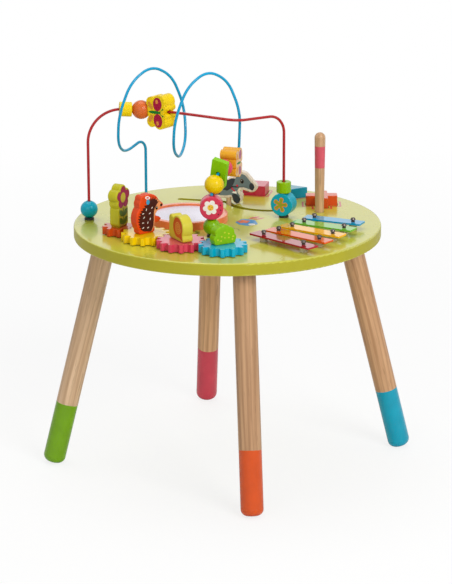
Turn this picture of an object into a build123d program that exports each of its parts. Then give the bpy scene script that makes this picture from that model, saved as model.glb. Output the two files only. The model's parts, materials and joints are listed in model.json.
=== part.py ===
from build123d import *
import os
from math import cos, radians, sin, sqrt, tan

# A toddler's round activity table: a painted board on four splayed dowel legs, with a bead coaster,
# a drum, a train of four meshing gears with figures, five chime bars, a puppy that runs in a groove,
# three shape blocks and a beater. Millimetres. The origin is on the floor under the board's centre,
# +Z is up, and the four legs stand on the X and Y axes.

# --- Board ---
table_diameter = 440
table_thickness = 18
table_height = 352
table_edge_round = 2.5

# --- Legs ---
leg_diameter = 32
leg_splay_radius = 174.5  # from the table's axis to the leg's axis, at the board's underside
leg_splay_angle = 13.9
leg_foot_round = 9.5
leg_top_round = 1.5
leg_foot_flat_depth = 0.5  # what the floor has worn off each rounded foot
leg_seat_drop = 7  # the leg's top centre, below the board

# --- Leg plates and their fasteners ---
plate_width = 62
plate_thickness = 2.5
plate_corner_round = 9
plate_boss_diameter = 24
plate_screw_spacing = 46
plate_screw_diameter = 4
plate_screw_head_diameter = 8
plate_screw_head_height = 2
plate_screw_depth = 12
leg_bolt_diameter = 8
leg_bolt_depth = 38  # in the leg
leg_bolt_reach = 12  # past the leg's top, through the plate into the board
fastener_clearance = 0.1

# --- Where the toys stand: their own axes, turned from the legs' about the table's axis ---
play_turn = -7.5

# --- Bead wires ---
wire_diameter = 4
wire_tail = 7  # below the board, for the nut
grommet_diameter = 14
grommet_height = 3
grommet_neck_diameter = 8
grommet_neck_length = 9
grommet_edge_round = 0.8
wire_nut_across_flats = 8
wire_nut_height = 5

red_left_foot = (-198.7, 16.9)
red_right_foot = (81.2, 28.7)
red_left_corner_height = 163.5
red_left_bend = 48
red_nose = (-108.8, 26, 158.8)  # where the wire turns forward, between the ball and the butterfly
red_dip = (-58, -13, 161.5)
red_belly = (14, -30, 155)
red_rise = (40, -3, 152.3)
red_right_corner_height = 150.5
red_right_bend = 27
bead_bend = 14  # the small bends of a wire where two beads meet

blue_left_foot = (-118.7, 85)
blue_left_corner_height = 105.5
blue_left_bend = 15
coil_start = (-127.1, 30, 158.4)
coil_pitch = (79.8, -56, 4.4)
coil_swing = (24, 38)
coil_height_radius = 60.6
coil_first_angle = -90
coil_last_angle = 540
coil_step = 45
blue_right_foot = (-22, -78.7)
yellow_lean = (0.265, 0.477, 0.834)  # the wire's way through the yellow ball
block_lean = (0.43, 0.869, 0.245)  # through the green block and the pink ball
butterfly_lean = (0.32, 0.945, -0.06)  # through the orange butterfly
butterfly_run = 48  # from the bend before the butterfly to the bend behind it
blue_back_bend = 16

# --- Beads ---
bead_bore_clearance = 1.3
bead_gap = 0.3
bead_edge_round = 1.5
turquoise_ball_diameter = 25
orange_ball_diameter = 27
green_ball_diameter = 24
yellow_ball_diameter = 27.5
pink_ball_diameter = 24
yellow_cylinder_diameter = 21
yellow_cylinder_length = 18
green_cylinder_diameter = 21
green_cylinder_length = 16
disc_diameter = 33
disc_thickness = 20
turquoise_disc_turn = -23
block_bead_width = 23
block_bead_height = 41
block_bead_thickness = 8
block_bead_roll = -14
butterfly_thickness = 24
yellow_butterfly_neck = 14  # from the middle to the notch between the wings, at either end
orange_butterfly_neck = 12
butterfly_fore_wing = (0.5, 0.98, 0.75, 0.76)  # centre along and across, then radii, in necks
butterfly_hind_wing = (-0.52, 0.99, 0.6, 0.58)
butterfly_head = (0.95, 0.42, 0.36)  # each half's centre along and across, then radius, in necks
butterfly_waist = 0.5

# --- Drum ---
drum_centre = (-57.9, 12.7)
drum_diameter = 117
drum_height = 11
drum_wall = 8
drum_ledge = 4
drum_head_thickness = 1.5
drum_head_recess = 3
drum_head_clearance = 0.2
drum_edge_round = 1
drum_well_diameter = 88
drum_well_depth = 6

# --- Gears ---
tooth_pitch_radius = 2.4  # pitch radius for each tooth
big_gear_teeth = 13
small_gear_teeth = 9
gear_thickness = 11
tooth_addendum = 2.7
tooth_dedendum = 3.6
tooth_tip_width = 4.8
tooth_root_width = 8.4
tooth_round = 1.3
gear_gap = 1  # the washer under each gear
gear_washer_diameter = 14
gear_screw_diameter = 5
gear_screw_clearance = 0.05
gear_screw_head_diameter = 9.5
gear_screw_head_height = 3
gear_screw_head_room = 0.5
gear_screw_depth = 13
pink_gear_centre = (-64.4, -136.3)
blue_gear_direction = -20.7
yellow_gear_direction = 143.3
orange_gear_direction = 135.3
pink_gear_phase = -88.4

# --- Figures on the gears ---
flower_thickness = 15
flower_facing = -30
hedgehog_thickness = 14
hedgehog_facing = -50
snail_thickness = 16
snail_facing = -151
grub_thickness = 14
grub_facing = -59
figure_edge_round = 2
hedgehog_notch_round = 0.6
snail_notch_round = 2

# --- Chime bars ---
bar_count = 5
bar_width = 20.5
bar_thickness = 2.5
bar_longest = 113
bar_length_step = 6.3
bar_hole_share = 0.675  # of the bar's length, between its two holes
bar_fan_pivot = (-176.4, 124.7)
bar_fan_radius = 360
bar_fan_first_angle = -45.1
bar_fan_step = 5.15
bar_corner_round = 1
sleeve_flange_diameter = 11
sleeve_flange_height = 7.5
sleeve_neck_diameter = 5
sleeve_neck_rise = 3  # above the bar
sleeve_neck_clearance = 0.3
bar_screw_diameter = 3
bar_screw_head_diameter = 7.5
bar_screw_head_height = 2.6
bar_screw_depth = 10

# --- Puppy and its groove ---
groove_width = 10
groove_start = (-69, 132.6)
groove_corner = (-0.6, 115.8)
groove_small_bend = 15
groove_arc_centre = (63, 127.5)
groove_arc_radius = 64
groove_arc_first_angle = -162
groove_tail = 21
peg_diameter = 7.5
puppy_thickness = 9
puppy_edge_round = 1.5
puppy_notch_round = 1
puppy_facing = -102
puppy_lift = 0.4
peg_socket_depth = 9
peg_socket_clearance = 0.1
peg_socket_floor = 12  # above the board, the underside of the puppy's belly
retainer_diameter = 26
retainer_thickness = 4
retainer_gap = 0.4
retainer_screw_diameter = 3.5
retainer_screw_head_diameter = 7.5
retainer_screw_head_height = 2.2
retainer_screw_depth = 12

# --- Crosses in the screws' heads ---
cross_recess_width = 0.9
cross_recess_span_share = 0.55  # of the head's diameter
cross_recess_depth = 1.1

# --- Shape blocks ---
shape_rise = 15  # above the board
shape_pocket_depth = 11
shape_clearance = 0.8
shape_corner_round = 2
shape_top_round = 1
square_centre = (42.6, 168.4)
square_side = 34
square_turn = -12
triangle_centre = (96.5, 144.3)
triangle_side = 38
cross_centre = (138.2, 100.5)
cross_span = 46
cross_arm = 18

# --- Beater ---
beater_centre = (133.8, 58)
beater_base_diameter = 12.7
beater_top_diameter = 15.8
beater_rise = 118
beater_socket_depth = 12
beater_socket_clearance = 0.6

# --- Worked out from the sizes above ---
underside = table_height - table_thickness
wire_radius = wire_diameter / 2
bead_bore = wire_radius + bead_bore_clearance
play = Plane(
    origin=(0, 0, table_height),
    x_dir=(cos(radians(play_turn)), sin(radians(play_turn)), 0),
    z_dir=(0, 0, 1),
)


def at(x, y, z=0):
    """The point at x, y on the toys' axes, z above the board."""
    return play.from_local_coords(Vector(x, y, z))


def along(vector):
    """A direction on the toys' axes."""
    return (at(*vector) - at(0, 0, 0)).normalized()


def facing_plane(centre, angle, height=0):
    """An upright plane through centre, whose normal points angle degrees round from the toys' x axis."""
    normal = along((cos(radians(angle)), sin(radians(angle)), 0))
    right = along((-sin(radians(angle)), cos(radians(angle)), 0))
    return Plane(origin=at(*centre, height), x_dir=right, z_dir=normal)


def axis_plane(origin, direction):
    """A plane square to direction."""
    return Plane(origin=origin, z_dir=direction)


def notches(outline):
    """The vertices where an outline turns sharply."""
    found = []
    for vertex in outline.vertices():
        spot = Vector(*vertex)
        ways = [edge % 0 for edge in outline.edges() if (edge @ 0 - spot).length < 1e-5]
        ways += [-(edge % 1) for edge in outline.edges() if (edge @ 1 - spot).length < 1e-5]
        if len(ways) == 2 and ways[0].get_angle(ways[1]) < 172:
            found.append(vertex)
    return found


def rims(board, face):
    """The edges round both flat faces of a board that lies along face."""
    flats = board.faces().filter_by(face)
    return [edge for flat in flats for edge in flat.outer_wire().edges()]


def cut_crosses(tops, head_diameter, spots=None):
    """Cuts a driver's cross into each screw head being built whose top lies on one of the planes."""
    span = head_diameter * cross_recess_span_share
    for top in tops:
        with BuildSketch(top) as cross:
            with spots or Locations((0, 0)):
                Rectangle(span, cross_recess_width)
                Rectangle(cross_recess_width, span)
        extrude(cross.sketch, amount=-cross_recess_depth, mode=Mode.SUBTRACT)


def save(part, name):
    """Labels a finished piece and writes its file."""
    part.label = name
    export_step(part, f"parts/{name}.step")


os.makedirs("parts", exist_ok=True)


# ---------------------------------------------------------------- bead wires
def bend_radius(before, corner, after, share=0.45):
    """The largest neat bend at a corner between two runs."""
    incoming = corner - before
    outgoing = after - corner
    turn = incoming.get_angle(outgoing)
    return share * min(incoming.length, outgoing.length) / tan(radians(turn / 2))


def ball_seat(diameter):
    """From a ball's centre to the rim of its bore."""
    return sqrt((diameter / 2) ** 2 - bead_bore**2)


def flat_lead(reach, line_in, line_out):
    """How far past a bend a flat-ended bead starts, to clear the ball that ends at the bend."""
    return reach * (1 - line_in.dot(line_out))


def coil_point(angle):
    """A corner of the polygon that the coil's bends are rounded from."""
    turns = angle / 360
    spread = 1 / cos(radians(coil_step / 2))
    side = -cos(radians(angle)) * spread
    return at(
        coil_start[0] + coil_pitch[0] * turns + coil_swing[0] * side,
        coil_start[1] + coil_pitch[1] * turns + coil_swing[1] * side,
        coil_start[2] + coil_pitch[2] * turns + coil_height_radius * spread * sin(radians(angle)),
    )


def bent_wire(points, radii):
    """A round wire along a path of straight runs and tangent bends."""
    with BuildPart() as wire:
        with BuildLine() as path:
            FilletPolyline(*points, radius=radii)
        with BuildSketch(axis_plane(path.line @ 0, path.line % 0)):
            Circle(wire_radius)
        sweep()
    return wire.part


wire_end_height = -table_thickness - wire_tail
red_points = [
    at(*red_left_foot, wire_end_height),
    at(*red_left_foot, red_left_corner_height),
    at(*red_nose),
    at(*red_dip),
    at(*red_belly),
    at(*red_rise),
    at(*red_right_foot, red_right_corner_height),
    at(*red_right_foot, wire_end_height),
]
red_radii = [red_left_bend, bead_bend]
red_radii += [bend_radius(*red_points[i - 1 : i + 2]) for i in (3, 4, 5)]
red_radii += [red_right_bend]
red_wire = bent_wire(red_points, red_radii)
save(red_wire, "red_wire")

# The blue wire's right end rises through the green ball and the pink disc, and leans back in small
# bends between the beads above them, each bend clear of the bead before it.
yellow_line = along(yellow_lean)
block_line = along(block_lean)
butterfly_line = along(butterfly_lean)
bead_floor = grommet_height + bead_gap
green_ball_height = bead_floor + ball_seat(green_ball_diameter)
pink_disc_height = green_ball_height + ball_seat(green_ball_diameter) + bead_gap + disc_diameter / 2
yellow_ball_reach = yellow_ball_diameter / 2 + bead_gap
yellow_ball_aside = yellow_lean[0] * yellow_ball_reach
yellow_ball_height = pink_disc_height + sqrt(
    (disc_diameter / 2 + yellow_ball_reach) ** 2 - yellow_ball_aside**2
)
blue_low_corner_height = yellow_ball_height - yellow_line.Z * yellow_ball_reach
blue_low_corner = at(*blue_right_foot, blue_low_corner_height)
yellow_ball_centre = blue_low_corner + yellow_line * yellow_ball_reach
blue_high_corner = yellow_ball_centre + yellow_line * yellow_ball_reach
block_bead_lead = flat_lead(yellow_ball_reach, yellow_line, block_line)
block_bead_centre = blue_high_corner + block_line * (block_bead_lead + block_bead_thickness / 2)
pink_ball_step = block_bead_thickness / 2 + bead_gap + ball_seat(pink_ball_diameter)
pink_ball_centre = block_bead_centre + block_line * pink_ball_step
pink_ball_reach = pink_ball_diameter / 2 + bead_gap
blue_third_corner = pink_ball_centre + block_line * pink_ball_reach
orange_butterfly_lead = flat_lead(pink_ball_reach, block_line, butterfly_line)
blue_back_corner = blue_third_corner + butterfly_line * butterfly_run

coil_angles = range(coil_first_angle, coil_last_angle + 1, coil_step)
coil_points = [coil_point(angle) for angle in coil_angles]
blue_points = [
    at(*blue_left_foot, wire_end_height),
    at(*blue_left_foot, blue_left_corner_height),
    *coil_points,
    blue_back_corner,
    blue_third_corner,
    blue_high_corner,
    blue_low_corner,
    at(*blue_right_foot, wire_end_height),
]
blue_radii = [blue_left_bend]
blue_radii += [bend_radius(*blue_points[i - 1 : i + 2]) for i in range(2, 2 + len(coil_points))]
blue_radii += [blue_back_bend, bead_bend, bead_bend, bead_bend]
blue_wire = bent_wire(blue_points, blue_radii)
save(blue_wire, "blue_wire")

wire_feet = [red_left_foot, red_right_foot, blue_left_foot, blue_right_foot]

with BuildPart() as wire_grommets:
    for foot in wire_feet:
        with BuildSketch(Plane(at(*foot), z_dir=(0, 0, 1))):
            Circle(grommet_diameter / 2)
        extrude(amount=grommet_height)
    fillet(
        wire_grommets.faces().group_by(Axis.Z)[-1].edges(),
        radius=grommet_edge_round,
    )
    for foot in wire_feet:
        with BuildSketch(Plane(at(*foot), z_dir=(0, 0, 1))):
            Circle(grommet_neck_diameter / 2)
        extrude(amount=-grommet_neck_length)
    for foot in wire_feet:
        with BuildSketch(Plane(at(*foot, grommet_height), z_dir=(0, 0, 1))):
            Circle(wire_radius + fastener_clearance)
        extrude(amount=-grommet_height - grommet_neck_length, mode=Mode.SUBTRACT)
save(wire_grommets.part, "wire_grommets")

with BuildPart() as wire_nuts:
    for foot in wire_feet:
        with BuildSketch(Plane(at(*foot, -table_thickness), z_dir=(0, 0, 1))):
            RegularPolygon(wire_nut_across_flats / 2, 6, major_radius=False)
            Circle(wire_radius + fastener_clearance, mode=Mode.SUBTRACT)
        extrude(amount=-wire_nut_height)
save(wire_nuts.part, "wire_nuts")


# ---------------------------------------------------------------- beads
up = Vector(0, 0, 1)


def bore(centre, direction, reach):
    """Drills the bead being built, for its wire."""
    with BuildSketch(axis_plane(centre, direction)) as hole:
        Circle(bead_bore)
    extrude(hole.sketch, amount=reach, both=True, mode=Mode.SUBTRACT)


def ball_bead(centre, direction, diameter):
    """A bored ball, turned about its bore."""
    side = direction.cross(Vector(1, 0, 0)).normalized()
    seat = ball_seat(diameter)
    with BuildPart() as bead:
        with BuildSketch(Plane(origin=centre, x_dir=side, z_dir=side.cross(direction))):
            with BuildLine():
                ThreePointArc((bead_bore, seat), (diameter / 2, 0), (bead_bore, -seat))
                Line((bead_bore, -seat), (bead_bore, seat))
            make_face()
        revolve(axis=Axis(centre, direction))
    return bead.part


def cylinder_bead(centre, direction, diameter, length):
    with BuildPart() as bead:
        with BuildSketch(axis_plane(centre, direction)):
            Circle(diameter / 2)
        extrude(amount=length / 2, both=True)
        chamfer(bead.edges().filter_by(GeomType.CIRCLE), length=bead_edge_round / 2)
        bore(centre, direction, length)
    return bead.part


def disc_bead(plane, centre):
    """A thick disc strung through its rim, so that its two faces show."""
    with BuildPart() as bead:
        with BuildSketch(plane):
            Circle(disc_diameter / 2)
        extrude(amount=disc_thickness / 2, both=True)
        chamfer(bead.edges().filter_by(GeomType.CIRCLE), length=bead_edge_round / 2)
        bore(centre, (0, 0, 1), disc_diameter)
    return bead.part


def butterfly_bead(centre, direction, neck):
    """Two pairs of wings about a body that the wire runs along, cut from thick board."""
    plane = Plane(origin=centre, x_dir=direction, z_dir=direction.cross(up))
    with BuildPart() as bead:
        with BuildSketch(plane):
            Rectangle(2 * neck, 2 * neck * butterfly_waist)
            for side in (neck, -neck):
                for wing in (butterfly_fore_wing, butterfly_hind_wing):
                    with Locations((neck * wing[0], side * wing[1])):
                        Ellipse(neck * wing[2], neck * wing[3])
                with Locations((neck * butterfly_head[0], side * butterfly_head[1])):
                    Circle(neck * butterfly_head[2])
        extrude(amount=butterfly_thickness / 2, both=True)
        bore(centre, direction, 2 * neck)
    return bead.part


def upright_centre(foot, height):
    """A bead's centre on an upright wire."""
    return at(*foot, height)


turquoise_ball_height = bead_floor + ball_seat(turquoise_ball_diameter)
bead_turquoise_ball = ball_bead(
    upright_centre(red_left_foot, turquoise_ball_height), up, turquoise_ball_diameter
)
save(bead_turquoise_ball, "bead_turquoise_ball")

# The three beads on top of the red wire, each against the next, up to the wire's bend.
red_nose_point = at(*red_nose)
red_run_in = (red_nose_point - red_points[1]).normalized()
red_run_out = (at(*red_dip) - red_nose_point).normalized()
orange_ball_reach = orange_ball_diameter / 2 + bead_gap
orange_ball_centre = red_nose_point - red_run_in * orange_ball_reach
bead_orange_ball = ball_bead(orange_ball_centre, red_run_in, orange_ball_diameter)
save(bead_orange_ball, "bead_orange_ball")

yellow_cylinder_back = ball_seat(orange_ball_diameter) + bead_gap + yellow_cylinder_length / 2
yellow_cylinder_centre = orange_ball_centre - red_run_in * yellow_cylinder_back
bead_yellow_cylinder = cylinder_bead(
    yellow_cylinder_centre, red_run_in, yellow_cylinder_diameter, yellow_cylinder_length
)
save(bead_yellow_cylinder, "bead_yellow_cylinder")

yellow_butterfly_lead = flat_lead(orange_ball_reach, red_run_in, red_run_out)
yellow_butterfly_step = yellow_butterfly_lead + yellow_butterfly_neck
yellow_butterfly_centre = red_nose_point + red_run_out * yellow_butterfly_step
bead_yellow_butterfly = butterfly_bead(yellow_butterfly_centre, red_run_out, yellow_butterfly_neck)
save(bead_yellow_butterfly, "bead_yellow_butterfly")

turquoise_disc_height = bead_floor + disc_diameter / 2
turquoise_disc_centre = upright_centre(red_right_foot, turquoise_disc_height)
bead_turquoise_disc = disc_bead(
    facing_plane(red_right_foot, turquoise_disc_turn - 90, turquoise_disc_height),
    turquoise_disc_centre,
)
save(bead_turquoise_disc, "bead_turquoise_disc")

green_cylinder_height = bead_floor + disc_diameter + bead_gap + green_cylinder_length / 2
bead_green_cylinder = cylinder_bead(
    upright_centre(red_right_foot, green_cylinder_height),
    up,
    green_cylinder_diameter,
    green_cylinder_length,
)
save(bead_green_cylinder, "bead_green_cylinder")

bead_green_ball = ball_bead(
    upright_centre(blue_right_foot, green_ball_height), up, green_ball_diameter
)
save(bead_green_ball, "bead_green_ball")

bead_pink_disc = disc_bead(
    facing_plane(blue_right_foot, -90, pink_disc_height),
    upright_centre(blue_right_foot, pink_disc_height),
)
save(bead_pink_disc, "bead_pink_disc")

bead_yellow_ball = ball_bead(yellow_ball_centre, yellow_line, yellow_ball_diameter)
save(bead_yellow_ball, "bead_yellow_ball")

with BuildPart() as bead_green_block:
    block_face = Plane(origin=block_bead_centre, x_dir=block_line.cross(up), z_dir=-block_line)
    with BuildSketch(block_face):
        RectangleRounded(
            block_bead_width, block_bead_height, bead_edge_round, rotation=block_bead_roll
        )
    extrude(amount=block_bead_thickness / 2, both=True)
    bore(block_bead_centre, block_line, block_bead_thickness)
save(bead_green_block.part, "bead_green_block")

bead_pink_ball = ball_bead(pink_ball_centre, block_line, pink_ball_diameter)
save(bead_pink_ball, "bead_pink_ball")

orange_butterfly_step = orange_butterfly_lead + orange_butterfly_neck
orange_butterfly_centre = blue_third_corner + butterfly_line * orange_butterfly_step
bead_orange_butterfly = butterfly_bead(
    orange_butterfly_centre, butterfly_line, orange_butterfly_neck
)
save(bead_orange_butterfly, "bead_orange_butterfly")


# ---------------------------------------------------------------- drum
drum_radius = drum_diameter / 2
drum_bore = drum_radius - drum_wall
drum_seat_height = drum_height - drum_head_recess - drum_head_thickness

with BuildPart() as drum_ring:
    with BuildSketch(Plane(at(*drum_centre), z_dir=(0, 0, 1))):
        Circle(drum_radius)
        Circle(drum_bore - drum_ledge, mode=Mode.SUBTRACT)
    extrude(amount=drum_height)
    with BuildSketch(Plane(at(*drum_centre, drum_height), z_dir=(0, 0, 1))):
        Circle(drum_bore)
    extrude(amount=drum_seat_height - drum_height, mode=Mode.SUBTRACT)
    fillet(drum_ring.faces().sort_by(Axis.Z)[-1].edges(), radius=drum_edge_round)
save(drum_ring.part, "drum_ring")

with BuildPart() as drum_head:
    with BuildSketch(Plane(at(*drum_centre, drum_seat_height), z_dir=(0, 0, 1))):
        Circle(drum_bore - drum_head_clearance)
    extrude(amount=drum_head_thickness)
save(drum_head.part, "drum_head")


# ---------------------------------------------------------------- gears
def pitch_radius(teeth):
    return teeth * tooth_pitch_radius


def gear_beside(centre, direction, teeth, other_teeth):
    """The centre of a gear that meshes with the one at centre."""
    distance = pitch_radius(teeth) + pitch_radius(other_teeth)
    return (
        centre[0] + distance * cos(radians(direction)),
        centre[1] + distance * sin(radians(direction)),
    )


def meshing_phase(phase, teeth, direction, other_teeth):
    """The tooth angle of a gear that meshes with a gear whose tooth stands at phase."""
    lead = (direction - phase) * teeth / other_teeth
    return direction + 180 + lead + 180 / other_teeth


def gear(centre, teeth, phase):
    """A spur gear with a stepped bore for its screw, sawn from board, teeth rounded."""
    tip = pitch_radius(teeth) + tooth_addendum
    root = pitch_radius(teeth) - tooth_dedendum
    outline_points = []
    for tooth in range(teeth):
        turn = radians(phase + tooth * 360 / teeth)
        corners = [
            (root, -tooth_root_width / 2),
            (tip, -tooth_tip_width / 2),
            (tip, tooth_tip_width / 2),
            (root, tooth_root_width / 2),
        ]
        for out, across in corners:
            x = out * cos(turn) - across * sin(turn)
            y = out * sin(turn) + across * cos(turn)
            outline_points.append((x, y))
    face = Plane(at(*centre, gear_gap), x_dir=along((1, 0, 0)), z_dir=(0, 0, 1))
    with BuildPart() as wheel:
        with BuildSketch(face) as outline:
            Polygon(*outline_points, align=None)
            fillet(outline.vertices(), radius=tooth_round)
        extrude(amount=gear_thickness)
        with Locations(face.offset(gear_thickness)):
            CounterBoreHole(
                radius=gear_screw_diameter / 2 + gear_screw_clearance,
                counter_bore_radius=gear_screw_head_diameter / 2 + gear_screw_head_room,
                counter_bore_depth=gear_screw_head_height + gear_screw_head_room,
            )
    return wheel.part


big = big_gear_teeth
small = small_gear_teeth
blue_gear_centre = gear_beside(pink_gear_centre, blue_gear_direction, big, big)
yellow_gear_centre = gear_beside(pink_gear_centre, yellow_gear_direction, big, big)
orange_gear_centre = gear_beside(yellow_gear_centre, orange_gear_direction, big, small)
blue_gear_phase = meshing_phase(pink_gear_phase, big, blue_gear_direction, big)
yellow_gear_phase = meshing_phase(pink_gear_phase, big, yellow_gear_direction, big)
orange_gear_phase = meshing_phase(yellow_gear_phase, big, orange_gear_direction, small)

save(gear(pink_gear_centre, big, pink_gear_phase), "gear_pink")
save(gear(blue_gear_centre, big, blue_gear_phase), "gear_blue")
save(gear(yellow_gear_centre, big, yellow_gear_phase), "gear_yellow")
save(gear(orange_gear_centre, small, orange_gear_phase), "gear_orange")

gear_centres = [pink_gear_centre, blue_gear_centre, yellow_gear_centre, orange_gear_centre]
gear_top = gear_gap + gear_thickness
screw_head_seat = gear_top - gear_screw_head_height - gear_screw_head_room

with BuildPart() as gear_screws:
    for centre in gear_centres:
        with BuildSketch(Plane(at(*centre, screw_head_seat), z_dir=(0, 0, 1))):
            Circle(gear_screw_head_diameter / 2)
        extrude(amount=gear_screw_head_height)
        with BuildSketch(Plane(at(*centre, screw_head_seat), z_dir=(0, 0, 1))):
            Circle(gear_screw_diameter / 2)
        extrude(amount=-screw_head_seat - gear_screw_depth)
    screw_tops = [
        Plane(at(*centre, screw_head_seat + gear_screw_head_height), z_dir=(0, 0, 1))
        for centre in gear_centres
    ]
    cut_crosses(screw_tops, gear_screw_head_diameter)
save(gear_screws.part, "gear_screws")

with BuildPart() as gear_washers:
    for centre in gear_centres:
        with BuildSketch(Plane(at(*centre), z_dir=(0, 0, 1))):
            Circle(gear_washer_diameter / 2)
            Circle(gear_screw_diameter / 2 + fastener_clearance, mode=Mode.SUBTRACT)
        extrude(amount=gear_gap)
save(gear_washers.part, "gear_washers")


# ---------------------------------------------------------------- figures on the gears
flower_face = facing_plane(orange_gear_centre, flower_facing, gear_top)
with BuildPart() as flower_figure:
    with BuildSketch(flower_face):
        with Locations((-1, 42)):
            Circle(10)
            with PolarLocations(9.6, 5, start_angle=18):
                Circle(8.8)
        with Locations((-1, 15)):
            RectangleRounded(26, 30, 6)
        with Locations((-1, 4)):
            Rectangle(20, 8)
    extrude(amount=flower_thickness / 2, both=True)
    fillet(rims(flower_figure, flower_face), radius=figure_edge_round)
save(flower_figure.part, "flower_figure")

hedgehog_face = facing_plane(yellow_gear_centre, hedgehog_facing, gear_top)
with BuildPart() as hedgehog_figure:
    with BuildSketch(hedgehog_face) as hedgehog_outline:
        with Locations((24, 37)):
            Circle(3.2)
        with Locations((9, 39)):
            Circle(11.5)
        make_hull()
        with Locations((2, 42)):
            Ellipse(17.5, 13.5)
        with Locations((-8, 49.5)):
            Circle(5.5)
        with Locations((-3.5, 21.5)):
            Ellipse(17.5, 21.5)
        with Locations((14, 17.5)):
            Ellipse(8.5, 4.6)
        with Locations((-2, 5)):
            RectangleRounded(28, 10, 4)
        fillet(notches(hedgehog_outline), radius=hedgehog_notch_round)
    extrude(amount=hedgehog_thickness / 2, both=True)
    fillet(rims(hedgehog_figure, hedgehog_face), radius=figure_edge_round)
save(hedgehog_figure.part, "hedgehog_figure")

snail_face = facing_plane(pink_gear_centre, snail_facing, gear_top)
with BuildPart() as snail_figure:
    with BuildSketch(snail_face) as snail_outline:
        with Locations((5, 18.5)):
            Circle(17.3)
        with Locations((1, 4.5)):
            RectangleRounded(42, 9, 4)
        with Locations((-13.8, 17)):
            RectangleRounded(12.4, 34, 5.8)
        fillet(notches(snail_outline), radius=snail_notch_round)
    extrude(amount=snail_thickness / 2, both=True)
    fillet(rims(snail_figure, snail_face), radius=figure_edge_round)
save(snail_figure.part, "snail_figure")

grub_face = facing_plane(blue_gear_centre, grub_facing, gear_top)
with BuildPart() as grub_figure:
    with BuildSketch(grub_face):
        for lobe_x, lobe_y, lobe_radius in ((-10, 8, 8), (-8, 17, 8), (0, 18.5, 9), (7, 16, 8), (10, 8, 8)):
            with Locations((lobe_x, lobe_y)):
                Circle(lobe_radius)
        with Locations((0, 5)):
            RectangleRounded(34, 10, 4)
    extrude(amount=grub_thickness / 2, both=True)
    fillet(rims(grub_figure, grub_face), radius=figure_edge_round)
save(grub_figure.part, "grub_figure")


# ---------------------------------------------------------------- chime bars
def bar_frame(index):
    """Bar number index: its length and the plane at its centre on the board, x along the bar."""
    angle = radians(bar_fan_first_angle + index * bar_fan_step)
    x = bar_fan_pivot[0] + bar_fan_radius * cos(angle)
    y = bar_fan_pivot[1] + bar_fan_radius * sin(angle)
    plane = Plane(at(x, y), x_dir=along((cos(angle), sin(angle), 0)), z_dir=(0, 0, 1))
    return bar_longest - index * bar_length_step, plane


bars = [bar_frame(index) for index in range(bar_count)]
bar_colours = ["red", "orange", "yellow", "green", "blue"]
for colour, (bar_length, bar_plane) in zip(bar_colours, bars):
    with BuildPart() as bar:
        with BuildSketch(bar_plane.offset(sleeve_flange_height)):
            RectangleRounded(bar_length, bar_width, bar_corner_round)
            with GridLocations(bar_length * bar_hole_share, 1, 2, 1):
                Circle(sleeve_neck_diameter / 2 + sleeve_neck_clearance, mode=Mode.SUBTRACT)
        extrude(amount=bar_thickness)
    save(bar.part, f"bar_{colour}")

bar_screw_seat = sleeve_flange_height + bar_thickness + sleeve_neck_rise
with BuildPart() as bar_sleeves:
    for bar_length, bar_plane in bars:
        hole_spacing = bar_length * bar_hole_share
        with BuildSketch(bar_plane):
            with GridLocations(hole_spacing, 1, 2, 1):
                Circle(sleeve_flange_diameter / 2)
        extrude(amount=sleeve_flange_height)
        with BuildSketch(bar_plane.offset(sleeve_flange_height)):
            with GridLocations(hole_spacing, 1, 2, 1):
                Circle(sleeve_neck_diameter / 2)
        extrude(amount=bar_thickness + sleeve_neck_rise)
        with BuildSketch(bar_plane):
            with GridLocations(hole_spacing, 1, 2, 1):
                Circle(bar_screw_diameter / 2 + fastener_clearance)
        extrude(amount=bar_screw_seat, mode=Mode.SUBTRACT)
save(bar_sleeves.part, "bar_sleeves")

with BuildPart() as bar_screws:
    for bar_length, bar_plane in bars:
        hole_spacing = bar_length * bar_hole_share
        with BuildSketch(bar_plane.offset(bar_screw_seat)):
            with GridLocations(hole_spacing, 1, 2, 1):
                Circle(bar_screw_head_diameter / 2)
        extrude(amount=bar_screw_head_height, taper=20)
        with BuildSketch(bar_plane.offset(bar_screw_seat)):
            with GridLocations(hole_spacing, 1, 2, 1):
                Circle(bar_screw_diameter / 2)
        extrude(amount=-bar_screw_seat - bar_screw_depth)
        head_top = bar_plane.offset(bar_screw_seat + bar_screw_head_height)
        cut_crosses([head_top], bar_screw_head_diameter, GridLocations(hole_spacing, 1, 2, 1))
save(bar_screws.part, "bar_screws")


# ---------------------------------------------------------------- puppy and its groove
groove_arc_start = (
    groove_arc_centre[0] + groove_arc_radius * cos(radians(groove_arc_first_angle)),
    groove_arc_centre[1] + groove_arc_radius * sin(radians(groove_arc_first_angle)),
)
peg_place = groove_arc_start
puppy_face = facing_plane(peg_place, puppy_facing, puppy_lift)
belly_height = peg_socket_floor

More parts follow.
